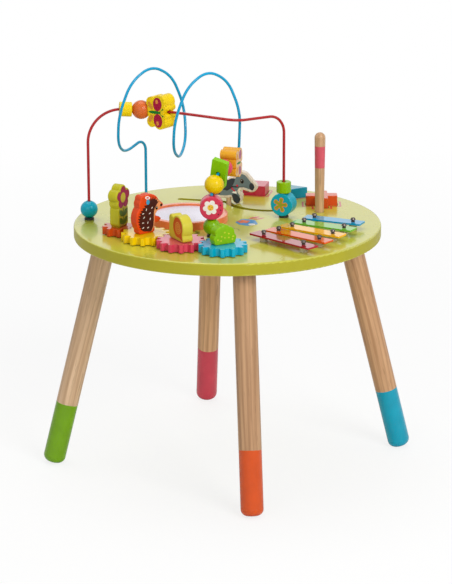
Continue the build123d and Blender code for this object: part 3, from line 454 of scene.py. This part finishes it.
node_materials = {
    "tabletop": board_finish("lime_lacquer", lime, lime_rim_painted_shade),
    "red_wire": enamel("red_enamel", srgb(166, 30, 34), edge=wire_edge),
    "blue_wire": enamel("blue_enamel", srgb(0, 150, 194), edge=wire_edge),
    "wire_grommets": plastic("black_rubber", srgb(24, 24, 26), roughness=0.45),
    "wire_nuts": steel("nut_steel", srgb(170, 168, 160)),
    "drum_ring": paint("drum_lacquer", srgb(236, 124, 72), roughness=0.26, coat=0.15, top=0.85),
    "drum_head": drum_skin("drum_film", srgb(232, 228, 242)),
    "gear_pink": paint("gear_pink_lacquer", srgb(206, 62, 88), top=0.8),
    "gear_blue": paint("gear_blue_lacquer", srgb(0, 164, 202), top=0.8),
    "gear_yellow": paint("gear_yellow_lacquer", srgb(238, 200, 0), top=0.8),
    "gear_orange": paint("gear_orange_lacquer", srgb(200, 74, 16), top=0.8),
    "flower_figure": paint("flower_lacquer", srgb(182, 176, 34)),
    "hedgehog_figure": paint("hedgehog_lacquer", srgb(214, 70, 20)),
    "snail_figure": paint("snail_lacquer", srgb(202, 190, 60)),
    "grub_figure": paint("grub_lacquer", srgb(126, 178, 0)),
    "gear_screws": steel("screw_steel", srgb(120, 118, 112)),
    "gear_washers": plastic("washer_nylon", srgb(225, 224, 214), subsurface=0.1),
    "bar_sleeves": sleeve_with_painted_shade("sleeve_nylon_painted_shade", nylon_white, collar_painted_shade),
    "bead_turquoise_ball": paint("bead_turquoise_lacquer", srgb(0, 160, 184), roughness=0.22, coat=0.14),
    "bead_yellow_cylinder": paint("bead_yellow_lacquer", srgb(236, 204, 14), roughness=0.28, coat=0.08),
    "bead_orange_ball": paint("bead_orange_lacquer", srgb(210, 102, 42), roughness=0.24, coat=0.12),
    "bead_yellow_butterfly": paint("butterfly_yellow_lacquer", srgb(238, 204, 0), roughness=0.28),
    "bead_turquoise_disc": paint("disc_turquoise_lacquer", srgb(14, 162, 186), roughness=0.26, coat=0.1),
    "bead_green_cylinder": paint("bead_green_lacquer", srgb(136, 184, 0), roughness=0.28, coat=0.1),
    "bead_green_ball": paint("ball_green_lacquer", srgb(126, 182, 0), roughness=0.22, coat=0.14),
    "bead_pink_disc": paint("disc_pink_lacquer", srgb(210, 58, 86), roughness=0.26, coat=0.1),
    "bead_yellow_ball": paint("ball_yellow_lacquer", srgb(228, 194, 0), roughness=0.22, coat=0.12),
    "bead_green_block": paint("block_green_lacquer", srgb(132, 194, 10), coat=0.08),
    "bead_pink_ball": paint("ball_pink_lacquer", srgb(214, 70, 96), roughness=0.24, coat=0.12),
    "bead_orange_butterfly": paint("butterfly_orange_lacquer", srgb(228, 164, 38), roughness=0.28),
    "puppy": wood("puppy_board", srgb(232, 220, 204), srgb(214, 198, 176)),
    "puppy_peg": wood("peg_wood", srgb(214, 184, 144), srgb(188, 154, 112)),
    "puppy_retainer": plastic("retainer_plastic", srgb(30, 30, 33), roughness=0.42),
    "puppy_screw": steel("puppy_screw_steel", srgb(120, 118, 112)),
    "block_square": paint("block_pink_lacquer", srgb(196, 40, 68), coat=0.15, top=0.8),
    "block_triangle": paint("block_turquoise_lacquer", srgb(0, 138, 164), coat=0.15, top=0.8),
    "block_cross": paint("block_orange_lacquer", srgb(206, 76, 14), coat=0.15, top=0.8),
    "beater": banded_wood("beater_wood", beater_light, beater_dark, beater_pink, *beater_band),
    "leg_plates": steel("plate_steel", srgb(176, 174, 168), roughness=0.36),
    "leg_bolts": steel("bolt_steel", srgb(150, 148, 142)),
    "leg_plate_screws": steel("plate_screw_steel", srgb(150, 148, 142)),
    "bar_screws": steel("bar_screw_steel", srgb(88, 80, 76), roughness=0.27),
}

# Chime bars: each with the weight of its top's polish
bar_tones = {
    "bar_red": (srgb(164, 0, 34), 0.85),
    "bar_orange": (srgb(220, 84, 2), 0.75),
    "bar_yellow": (srgb(244, 178, 0), 0.75),
    "bar_green": (srgb(112, 184, 50), 0.75),
    "bar_blue": (srgb(0, 148, 196), 0.7),
}
for name, (tone, polish) in bar_tones.items():
    node_materials[name] = enamel(
        f"{name}_enamel", tone, roughness=0.1, coat=0.06, top=polish, coat_roughness=0.03
    )

# Legs: dowels on the frame's own axes, each with its tip in another colour
leg_splay = math.radians(13.9)
leg_hip_radius = 174.5 * MM
leg_tip_length = 93 * MM
leg_tones = {
    "leg_right": (0, turquoise, srgb(202, 160, 120), srgb(172, 128, 90)),
    "leg_back": (90, crimson, srgb(216, 172, 130), srgb(184, 138, 98)),
    "leg_left": (180, leaf_green, srgb(214, 182, 148), srgb(180, 146, 112)),
    # The front leg's wood tones are darker: painted shade from the board's shadow.
    "leg_front": (270, tip_orange, srgb(193, 152, 114), srgb(161, 122, 88)),
}
for name, (angle, tip, wood_light, wood_dark) in leg_tones.items():
    outward = Vector((math.cos(math.radians(angle)), math.sin(math.radians(angle)), 0))
    foot = outward * (leg_hip_radius + board_low.z * math.tan(leg_splay))
    up_leg = Vector((0, 0, 1)) * math.cos(leg_splay) - outward * math.sin(leg_splay)
    node_materials[name] = leg_finish(
        f"{name}_finish", wood_light, wood_dark, tip, foot, up_leg, leg_tip_length
    )

for name, made in node_materials.items():
    nodes[name].data.materials.clear()
    nodes[name].data.materials.append(made)


# ---------------------------------------------------------------- outlines for printed shapes
def placed(outline, x, y, turn=0):
    """An outline turned by some degrees and moved to x, y."""
    tilt = math.radians(turn)
    cosine, sine = math.cos(tilt), math.sin(tilt)
    return [(x + a * cosine - b * sine, y + a * sine + b * cosine) for a, b in outline]


def around(x, y, radius, angles):
    """Points on a circle about x, y, at some angles in radians."""
    return [(x + radius * math.cos(angle), y + radius * math.sin(angle)) for angle in angles]


def ellipse(x, y, rx, ry, turn=0, points=16):
    """An ellipse about x, y, turned by some degrees."""
    angles = [2 * math.pi * index / points for index in range(points)]
    return placed([(rx * math.cos(angle), ry * math.sin(angle)) for angle in angles], x, y, turn)


def mirrored_ellipses(x, y, rx, ry, turn):
    """An ellipse and its mirror image across the x axis."""
    return [ellipse(x, y, rx, ry, turn), ellipse(x, -y, rx, ry, -turn)]


def dots(places, radius, points=10):
    """Small round dots."""
    return [ellipse(x, y, radius, radius, 0, points) for x, y in places]


def petals(x, y, out, radius, core, count, turn=0, petal_points=10):
    """A flower's outline: count round petals whose middles stand out from x, y, about a round core."""
    outline = []
    for index in range(count * petal_points):
        angle = 2 * math.pi * index / (count * petal_points)
        aside = (angle + math.pi / count) % (2 * math.pi / count) - math.pi / count
        half_chord = radius**2 - (out * math.sin(aside)) ** 2
        reach = out * math.cos(aside) + math.sqrt(half_chord) if half_chord > 0 else core
        outline += around(x, y, max(reach, core), [angle + math.radians(turn)])
    return outline


def leaf(x0, y0, x1, y1, width, steps=8):
    """A pointed leaf from one tip to the other."""
    length = math.hypot(x1 - x0, y1 - y0)
    way = ((x1 - x0) / length, (y1 - y0) / length)
    outline = []
    for side in (1, -1):
        for step in range(steps):
            share = step / steps if side == 1 else 1 - step / steps
            out = side * width / 2 * math.sin(math.pi * share) ** 0.8
            x = x0 + way[0] * length * share - way[1] * out
            y = y0 + way[1] * length * share + way[0] * out
            outline.append((x, y))
    return outline


def stroke(points, width):
    """A line of the given width along some points."""
    left, right = [], []
    for index, (x, y) in enumerate(points):
        before, after = points[max(index - 1, 0)], points[min(index + 1, len(points) - 1)]
        half = width / 2 / math.hypot(after[0] - before[0], after[1] - before[1])
        across = (-(after[1] - before[1]) * half, (after[0] - before[0]) * half)
        left.append((x + across[0], y + across[1]))
        right.append((x - across[0], y - across[1]))
    return left + right[::-1]


def spiral(x, y, start, end, turns, tallness, steps=40):
    """Points that wind out from x, y."""
    shares = [step / steps for step in range(steps + 1)]
    radii = [start + (end - start) * share for share in shares]
    angles = [2 * math.pi * turns * share for share in shares]
    return [(x + r * math.cos(a), y + r * math.sin(a) * tallness) for r, a in zip(radii, angles)]


def rounded(corners, radius, steps=4):
    """A polygon with its corners rounded."""
    outline = []
    for index, corner in enumerate(corners):
        here = Vector(corner)
        back = (Vector(corners[index - 1]) - here).normalized()
        on = (Vector(corners[(index + 1) % len(corners)]) - here).normalized()
        half = back.angle(on) / 2
        centre = here + (back + on).normalized() * radius / math.sin(half)
        start, end = here + back * radius / math.tan(half), here + on * radius / math.tan(half)
        for step in range(steps + 1):
            way = ((start - centre) * (1 - step / steps) + (end - centre) * step / steps).normalized()
            outline.append(tuple(centre + way * radius))
    return outline


# ---------------------------------------------------------------- printed shapes
# All in millimetres
print_half = 0.03  # from a print's middle to either side
print_lift = 0.05  # from the face to the first layer's middle
layer_step = 2.2 * print_half  # from one layer's middle to the next
coat_lift = 0.6 * print_lift  # from the face to a coat's underside
coat_thickness = print_half / 2


def printed(name, place, outlines, finish, body, layer=0):
    """A thin painted shape on a flat face. Outlines inside one another cut holes."""
    curve = bpy.data.curves.new(name, "CURVE")
    curve.dimensions = "2D"
    curve.fill_mode = "BOTH"
    curve.extrude = print_half
    for outline in outlines:
        spline = curve.splines.new("POLY")
        spline.points.add(len(outline) - 1)
        for point, (x, y) in zip(spline.points, outline):
            point.co = (x, y, 0, 1)
        spline.use_cyclic_u = True
    drawn = new_object(f"{name}_outline", curve)
    bpy.context.view_layer.update()
    evaluated = drawn.evaluated_get(bpy.context.evaluated_depsgraph_get())
    mesh = bpy.data.meshes.new_from_object(evaluated)
    bpy.data.objects.remove(drawn)
    mesh.transform(place @ Matrix.Translation((0, 0, print_lift + layer * layer_step)))
    work = bmesh.new()
    work.from_mesh(mesh)
    bmesh.ops.remove_doubles(work, verts=work.verts, dist=0.0001 * MM)
    bmesh.ops.recalc_face_normals(work, faces=work.faces)
    work.to_mesh(mesh)
    work.free()
    mesh.materials.clear()
    mesh.materials.append(finish)
    piece = new_object(name, mesh)
    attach(piece, body)


def coated_face(name, node, outward, margin, finish):
    """A thin coat over a CAD board's flat face that stops a margin short of its edge."""
    work = bmesh.new()
    work.from_mesh(nodes[node].data)
    outward = outward.normalized()
    reach = max(vertex.co.dot(outward) for vertex in work.verts)
    bmesh.ops.remove_doubles(work, verts=work.verts, dist=0.001 * MM)

    def lies_elsewhere(face):
        """Whether a face looks another way or lies below the outermost ones."""
        below = reach - face.calc_center_median().dot(outward)
        return face.normal.dot(outward) <= 0.999 or abs(below) >= 0.01 * MM

    bmesh.ops.delete(work, geom=[face for face in work.faces if lies_elsewhere(face)], context="FACES")
    bmesh.ops.dissolve_limit(
        work, angle_limit=0.01, verts=work.verts, edges=work.edges, use_dissolve_boundaries=False
    )
    border = bmesh.ops.inset_region(
        work, faces=work.faces[:], thickness=margin * MM, use_boundary=True, use_even_offset=True
    )
    bmesh.ops.delete(work, geom=border["faces"], context="FACES")
    bmesh.ops.triangulate(work, faces=work.faces)
    for vertex in work.verts:
        vertex.co += outward * coat_lift * MM
    grown = bmesh.ops.extrude_face_region(work, geom=work.faces[:])["geom"]
    for vertex in (part for part in grown if isinstance(part, bmesh.types.BMVert)):
        vertex.co += outward * coat_thickness * MM
    bmesh.ops.recalc_face_normals(work, faces=work.faces[:])
    mesh = bpy.data.meshes.new(name)
    work.to_mesh(mesh)
    work.free()
    mesh.materials.append(finish)
    piece = new_object(name, mesh)
    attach(piece, body_of[node])


def coat_both_faces(name, node, outward, margin, finish):
    """Coats on a CAD board's two flat faces."""
    coated_face(f"{name}_front", node, outward, margin, finish)
    coated_face(f"{name}_back", node, -outward, margin, finish)


ink_tones = {
    "white": srgb(240, 236, 228),
    "black": srgb(20, 16, 14),
    "bronze": srgb(138, 128, 100),
    "plum": srgb(152, 34, 74),
    "olive": srgb(190, 178, 52),
    "leaf": srgb(78, 116, 20),
    "brown": srgb(66, 26, 20),
    "peach": srgb(228, 150, 96),
    "blue": srgb(62, 150, 190),
    "rust": srgb(196, 84, 26),
    "ochre": srgb(222, 168, 70),
    "dot": srgb(198, 200, 50),
    "grey": srgb(106, 122, 124),
    "dark_grey": srgb(52, 58, 62),
    "red": srgb(204, 34, 62),
    "crimson": srgb(168, 8, 56),
    "orange": srgb(226, 140, 60),
    "green": srgb(16, 122, 30),
    "yellow": srgb(240, 190, 60),
    "moss": srgb(150, 156, 44),
    "amber": srgb(214, 146, 40),
    "mauve": srgb(168, 90, 124),
}
inks = {}
for name, tone in ink_tones.items():
    inks[name] = paint(f"ink_{name}", tone, roughness=0.36, coat=0.1, edge=0.2 * MM)

board_ink_tones = {
    "pink": srgb(196, 0, 60),
    "blue": srgb(0, 134, 196),
    "orange": srgb(214, 84, 10),
    "white": srgb(226, 224, 216),
    "leaf": srgb(0, 112, 0),
}
board_inks = {}
for name, tone in board_ink_tones.items():
    board_inks[name] = board_finish(f"board_ink_{name}", tone, tone)

bare_wood = wood("bare_face_wood", srgb(232, 196, 156), srgb(216, 176, 132))


def mark_both_faces(toy, faces, body, marks):
    """Prints a toy's marks on its two faces. A mark is its label, outlines, ink and layer."""
    for label, outlines, ink, layer in marks:
        for side, face in zip(("front", "back"), faces):
            printed(f"{toy}_{label}_{side}", face, outlines, inks[ink], body, layer)


# Figures: each is drawn in millimetres from the middle of its foot, which stands on a gear
figure_foot = 12  # above the board

# Flower
flower_faces = upright_faces((-151.96, -61.87), -30, figure_foot, thickness=15)
flower_marks = [
    ("petals", [petals(-1, 42, 9.6, 6.6, 10, 5, 18)], "plum", 0),
    ("centre", [ellipse(-1.6, 42, 6.2, 7.2)], "olive", 1),
    ("leaf_0", [leaf(-1.6, 15, -11.4, 25, 8)], "leaf", 0),
    ("leaf_1", [leaf(-0.6, 15, 9, 25, 8)], "leaf", 0),
    ("leaf_2", [leaf(-1.6, 3.4, -11.4, 13.4, 8)], "leaf", 0),
    ("leaf_3", [leaf(-0.6, 3.4, 9, 13.4, 8)], "leaf", 0),
    ("leaf_4", [stroke([(-1.1, 2.4), (-1, 12), (-1.1, 26)], 1.8)], "leaf", 0),
]
mark_both_faces("flower", flower_faces, "orange_gear", flower_marks)

# Hedgehog
hedgehog_faces = upright_faces((-114.43, -99.01), -50, figure_foot, thickness=14)
face_corners = [
    (15, 48), (20.6, 42.4), (23.8, 38.8), (24.6, 36.2), (20, 32.6), (15, 29), (11.4, 24), (11, 14),
    (9.6, 7), (6, 2.4), (-1, 2.2), (6, 20), (8, 40),
]
spine_roots = [
    (1, 2.2), (-5, 3), (-9.6, 5), (-12.4, 8.6), (-14, 12.4), (-14.8, 16.2), (-15, 20), (-14.4, 23.8),
    (-13, 27.4), (-11.2, 31), (-8.6, 34.4), (-5, 37.6), (-2, 41), (0.6, 45),
]
spine_out, spine_up = 3.6, 1.2
spines = [(5, 2.2)]
for here, on in zip(spine_roots, spine_roots[1:]):
    spines += [here, ((here[0] + on[0]) / 2 - spine_out, (here[1] + on[1]) / 2 + spine_up)]
spines += [
    (1.2, 49), (3.6, 46), (4.2, 51.6), (6.6, 47), (8.6, 51.6), (10, 46.8), (12.6, 50), (13, 46),
    (16.4, 46.8), (15.6, 43.6), (18.8, 42.8), (16.4, 40.4), (11.6, 34.4), (10, 28), (9.8, 18), (8.6, 9),
]
tick_places = [
    (6.6, 35.6, 40), (-3.2, 34.4, 70), (2.6, 28.3, 30), (-9.2, 29.5, 10), (-7.5, 23.7, 40),
    (3.3, 20.2, 75), (-9.4, 16.3, 0), (-1.1, 15.5, 65), (-9.1, 9.2, 30), (-0.6, 8.4, 20),
]
hedgehog_marks = [
    ("face", [rounded(face_corners, 1.2)], "peach", 0),
    ("spines", [spines], "brown", 1),
    ("ticks", [ellipse(x, y, 1.9, 0.6, turn, 10) for x, y, turn in tick_places], "white", 2),
    ("eye", [ellipse(14.8, 34, 2.2, 2.5)], "black", 2),
    ("glint", dots([(15.4, 34.9)], 0.7, 8), "white", 3),
    ("nose", [ellipse(22.9, 37, 1.9, 2)], "black", 2),
    ("berry", [ellipse(-0.4, 44.8, 3, 3.9)], "blue", 2),
    ("bud", [ellipse(-1, 51, 4.4, 2.3, -12)], "white", 2),
    ("bud_heart", [ellipse(-1, 51, 2.6, 1.1, -12)], "red", 3),
    ("paw", [stroke([(15, 18.5), (18, 17), (21, 17.4), (22, 19)], 0.9)], "rust", 1),
]
mark_both_faces("hedgehog", hedgehog_faces, "yellow_gear", hedgehog_marks)

# Snail: its shell is an ellipse drawn out to a corner at the foot
snail_faces = upright_faces((-64.4, -136.3), -151, figure_foot, thickness=16)
shell = ellipse(6.4, 19.4, 13.3, 14.2, points=24)
shell_corner = (19.4, 2.4)
snail_marks = [
    ("shell", [shell[:20] + [shell_corner] + shell[22:]], "rust", 0),
    ("coil", [stroke(spiral(7, 19.2, start=1, end=8.6, turns=3, tallness=1.08), 1)], "ochre", 1),
]
mark_both_faces("snail", snail_faces, "pink_gear", snail_marks)

# Grub
grub_faces = upright_faces((-6.03, -158.36), -59, figure_foot, thickness=14)
grub_dots = [
    (-6.2, 12), (-1.2, 17), (5.2, 14.8), (-1.2, 9.8), (5.2, 9.4), (12, 10.1), (11, 6.3), (-12, 7.8),
    (-7.2, 6.1),
]
mark_both_faces("grub", grub_faces, "blue_gear", [("dots", dots(grub_dots, 1.25), "dot", 0)])

# Puppy
puppy_facing = -102
puppy_coat_margin = 2.6
puppy_faces = upright_faces((2.13, 107.72), puppy_facing, height=0.4, thickness=9)
coat_both_faces("puppy_coat", "puppy", level_way(puppy_facing), puppy_coat_margin, inks["grey"])
puppy_ear = [
    (-8.6, 21.5), (-8.4, 27), (-3.6, 34.4), (4.4, 38.4), (10.4, 38.9), (9.6, 34), (4.8, 23.8), (-1.6, 19.6),
]
puppy_paw = [(5.2, 13.6), (10.4, 16.2), (15, 13), (18.6, 8), (16.6, 1.8), (12.2, 1.4), (8, 4.6)]
puppy_bow = [(9.2, 19.6), (5.2, 17.6), (8.6, 16.4), (12.9, 15.4), (12.3, 19.4)]
puppy_marks = [
    ("ear", [rounded(puppy_ear, 1)], "dark_grey", 1),
    ("nose", [ellipse(35.2, 27.4, 3.7, 5.6, 6)], "dark_grey", 1),
    ("cheek", [ellipse(13.5, 28, 1.6, 1.6)], "red", 1),
    ("collar", [stroke([(4.1, 25.4), (6.8, 22.4), (10.3, 18.9)], 1.9)], "red", 1),
    ("bow", [puppy_bow], "white", 1),
    ("paw", [rounded(puppy_paw, 1.2)], "dark_grey", 1),
    ("haunch", [ellipse(-18, 18, 6.5, 4.6, -20)], "dark_grey", 1),
    ("eye_ring", [ellipse(20.6, 34.9, 3.1, 3.8, 8)], "bronze", 1),
    ("mouth", [stroke([(31.5, 19.8), (27.6, 18.6), (23.6, 19.4)], 0.8)], "dark_grey", 1),
    ("eye", [ellipse(20.8, 34.8, 2.6, 3.3, 8)], "black", 2),
    ("glint", dots([(20.2, 36)], 0.6, 8), "white", 3),
]
mark_both_faces("puppy", puppy_faces, "puppy", puppy_marks)

# Discs: a blossom and a five-armed star flower, generic prints on both faces
disc_thickness = 20
pink_disc_faces = upright_faces((-22, -78.7), -90, 43.4, disc_thickness)
blossom_x, blossom_y = -1.5, 1
pink_disc_marks = [
    ("petals", [petals(blossom_x, blossom_y, 7, 3.8, 6.6, 6, 10)], "white", 0),
    ("heart", [ellipse(blossom_x, blossom_y, 4.4, 4.4)], "yellow", 1),
    ("specks", dots(around(blossom_x, blossom_y, 2.2, (0.3, 2.4, 4.5)), 0.6, 8), "black", 2),
    ("dots", dots(around(0, 0, 13, (0.35, -0.2, -0.75)), 0.9, 8), "black", 0),
]
mark_both_faces("pink_disc", pink_disc_faces, "pink_disc", pink_disc_marks)

turquoise_disc_faces = upright_faces((81.2, 28.7), -113, 19.8, disc_thickness)
turquoise_disc_marks = [
    ("star", [petals(-1.4, 0.2, 7.8, 3.4, 5.4, 5, 5)], "orange", 0),
    ("star_heart", [petals(-1.4, 0.2, 7.6, 2.2, 3.4, 5, 5)], "moss", 1),
]
mark_both_faces("turquoise_disc", turquoise_disc_faces, "turquoise_disc", turquoise_disc_marks)

# Butterflies: the same wings on both faces, and a bare face on the orange one
butterfly_thickness = 24


def bead_out(along):
    """The level way out of a board bead's face, whose head points along."""
    return along.cross(Vector((0, 0, 1))).normalized()


def bead_faces(origin, along):
    """The faces of a board bead at origin, in metres, whose head points along."""
    out = bead_out(along)
    front = plane(origin + out * butterfly_thickness / 2 * MM, along, out.cross(along))
    return both_faces(front, butterfly_thickness)


yellow_middle = Vector((-0.091898, 0.027394, 0.511549))
yellow_along = Vector((0.7063, -0.7067, 0.0421))
yellow_faces = bead_faces(yellow_middle, yellow_along)
yellow_feelers = [
    stroke([(6.6, 0.4), (10, 2.4), (12.3, 4.1)], 0.7),
    stroke([(6.6, -1), (10, -2.6), (12.2, -4)], 0.7),
    *dots([(13.5, 5), (13.5, -4.8)], 1.3),
]
yellow_marks = [
    ("wings", mirrored_ellipses(4.4, 11.8, 7.9, 9.9, -6), "crimson", 0),
    ("spots", [ellipse(3.6, 15.4, 2.4, 3.2, -6), ellipse(3.6, -15.6, 2.4, 3.2, 6)], "orange", 1),
    ("hind", mirrored_ellipses(-8.4, 9.2, 3.2, 6.4, 36), "amber", 0),
    ("body", [ellipse(-0.8, 0, 11.4, 2.2)], "green", 2),
    ("feelers", yellow_feelers, "green", 1),
]
mark_both_faces("yellow_butterfly", yellow_faces, "yellow_butterfly", yellow_marks)

orange_middle = Vector((0.002023, -0.022559, 0.44528))
orange_along = Vector((0.4408, 0.8956, -0.06))
orange_out = bead_out(orange_along)
orange_faces = bead_faces(orange_middle, orange_along)
bare_margin = 0.8
coat_both_faces("orange_butterfly_face", "bead_orange_butterfly", orange_out, bare_margin, bare_wood)
orange_marks = [
    ("wings", mirrored_ellipses(5.6, 11.2, 5, 6.6, -8), "mauve", 1),
    ("hind", mirrored_ellipses(-6.4, 9.4, 3.2, 4.4, 20), "amber", 1),
    ("body", [ellipse(0, 0, 8.6, 1.7)], "green", 2),
]
mark_both_faces("orange_butterfly", orange_faces, "orange_butterfly", orange_marks)

# Board: pink lines round the shapes' pockets, and a few plain garden prints
board_plane = plane(at(0, 0), at(1, 0) - at(0, 0), at(0, 1) - at(0, 0))
corner_round = 2
square_half = 17
triangle_side = 38
cross_reach, cross_half_width = 23, 9
square_place = (42.6, 168.4, -12)  # x, y and turn
triangle_place = (96.5, 144.3)
cross_place = (138.2, 100.5)
line_outside, line_inside = 5.7, 3.4  # how far a line's two edges lie from the block


def square_line(grow):
    """The square block's outline, grown by some millimetres."""
    half = square_half + grow
    corners = [(-half, -half), (half, -half), (half, half), (-half, half)]
    return placed(rounded(corners, corner_round + grow), *square_place)


def triangle_line(grow):
    """The triangle block's outline, grown by some millimetres."""
    reach = 2 * (triangle_side / (2 * math.sqrt(3)) + grow)
    corners = around(0, 0, reach, [math.radians(angle) for angle in (0, 120, 240)])
    return placed(rounded(corners, corner_round + grow), *triangle_place)


def cross_line(grow):
    """The cross block's outline, grown by some millimetres, one arm after another."""
    long, short = cross_reach + grow, cross_half_width + grow
    corners = [(short, short), (short, long), (-short, long)]
    for _ in range(3):
        corners += [(-y, x) for x, y in corners[-3:]]
    return placed(corners, *cross_place)


def pocket_line(outline):
    """The two edges of the line round a block's pocket."""
    return [outline(line_outside), outline(line_inside)]


bird_corners = [(11, -1), (22, 19), (40, 10), (44, -13), (29, -22), (16, -13)]
board_leaves = [
    leaf(-57, -47, -48.4, -52.4, 6.6),
    leaf(-46.4, -51, -39, -58, 6.4),
    leaf(-47, -60, -38, -64, 5),
    leaf(-60, -55, -52, -60, 4),
]
speck_places = [(-178, -27), (-172, -27), (-142, -12), (-141, 25), (-88, -43), (-85, -73), (-41, -99.5)]
curl_points = [(6.9, -31.4), (10, -35), (14.6, -38), (16.4, -42), (16.3, -46.6)]
board_prints = [
    ("line_square", pocket_line(square_line), "pink", 0),
    ("line_triangle", pocket_line(triangle_line), "pink", 0),
    ("line_cross", pocket_line(cross_line), "pink", 0),
    ("wing_blue", [rounded(bird_corners, 6)], "blue", 0),
    ("wing_orange", [petals(23, 2, 6.2, 3.4, 5.4, 5, 20)], "orange", 1),
    ("wing_white", [ellipse(35, -14, 5, 5.6, 20)], "white", 1),
    ("tail_pink", [leaf(30, 16, 47, 31, 7)], "pink", 0),
    ("tail_rose", [leaf(37, 12, 54, 24, 5)], "pink", 0),
    ("leaves", board_leaves, "leaf", 0),
    ("buds", [ellipse(-47.6, -48.4, 2.2, 2.8), ellipse(-53.4, -63, 3.2, 2)], "orange", 1),
    ("specks", dots(speck_places, 1.6), "pink", 0),
    ("curls", [stroke(curl_points, 0.9)], "leaf", 0),
]
for label, outlines, ink, layer in board_prints:
    printed(f"board_{label}", board_plane, outlines, board_inks[ink], body_of["tabletop"], layer)


# ---------------------------------------------------------------- stage, world and lamps
floor_radius = 20
floor_drop = 0.4 * MM  # under the feet

floor_mesh = bpy.data.meshes.new("floor")
floor_work = bmesh.new()
bmesh.ops.create_circle(floor_work, cap_ends=True, segments=96, radius=floor_radius)
floor_work.to_mesh(floor_mesh)
floor_work.free()
floor = new_object("floor", floor_mesh)
floor.location.z = -floor_drop

# The floor is a pale surface to the light, and glows white to the camera, most of all far away.
floor_finish, floor_tree, floor_shader = new_material("floor_white", Roughness=0.7)
floor_place = coordinates(floor_tree)
floor_clouds = noise(floor_tree, floor_place, 1.5, detail=2)
floor_colour = blend_colours(floor_tree, floor_clouds, (0.86, 0.86, 0.86, 1), (0.9, 0.9, 0.9, 1))
floor_tree.links.new(floor_colour, floor_shader.inputs["Base Color"])
floor_away = add(floor_tree, "ShaderNodeVectorMath", {0: floor_place}, operation="LENGTH").outputs["Value"]
floor_white = spread(floor_tree, floor_away, 0.8, 1.0, 0.4, 2.0)
floor_rays = add(floor_tree, "ShaderNodeLightPath")
floor_share = maths(floor_tree, "MULTIPLY", floor_rays.outputs["Is Camera Ray"], floor_white)
floor_glow = add(floor_tree, "ShaderNodeEmission", {"Color": (1, 1, 1, 1), "Strength": 1.0})
floor_parts = {0: floor_share, 1: floor_shader.outputs[0], 2: floor_glow.outputs[0]}
floor_mix = add(floor_tree, "ShaderNodeMixShader", floor_parts)
floor_tree.links.new(floor_mix.outputs[0], floor_tree.nodes["Material Output"].inputs["Surface"])
floor.data.materials.append(floor_finish)

# The sky is full white where it is seen or mirrored, and dimmer as a source of light.
world = bpy.data.worlds.new("studio")
world.use_nodes = True
scene.world = world
sky = world.node_tree
sky_rays = add(sky, "ShaderNodeLightPath")
seen = maths(sky, "MAXIMUM", sky_rays.outputs["Is Camera Ray"], sky_rays.outputs["Is Glossy Ray"])
seen = maths(sky, "MAXIMUM", seen, sky_rays.outputs["Is Transmission Ray"])
sky_strength = spread(sky, seen, 0.42, 1.0, 0, 1)
sky_background = sky.nodes["Background"]
sky_background.inputs["Color"].default_value = (1, 1, 1, 1)
sky.links.new(sky_strength, sky_background.inputs["Strength"])

table_middle = Vector((0, 0, 0.35))


def softbox(name, place, size, power):
    """A square lamp aimed at the middle of the table."""
    lamp_data = bpy.data.lights.new(name, "AREA")
    lamp_data.shape = "SQUARE"
    lamp_data.size = size
    lamp_data.energy = power
    lamp = new_object(name, lamp_data)
    lamp.location = place
    lamp.rotation_mode = "QUATERNION"
    lamp.rotation_quaternion = (table_middle - Vector(place)).to_track_quat("-Z", "Y")


softbox("key_lamp", (1.5, -2.9, 2.3), size=1.6, power=82)
softbox("fill_lamp", (-1.5, -2.9, 1.7), size=1.8, power=17)
softbox("top_lamp", (-0.2, 0.6, 3.0), size=1.8, power=30)
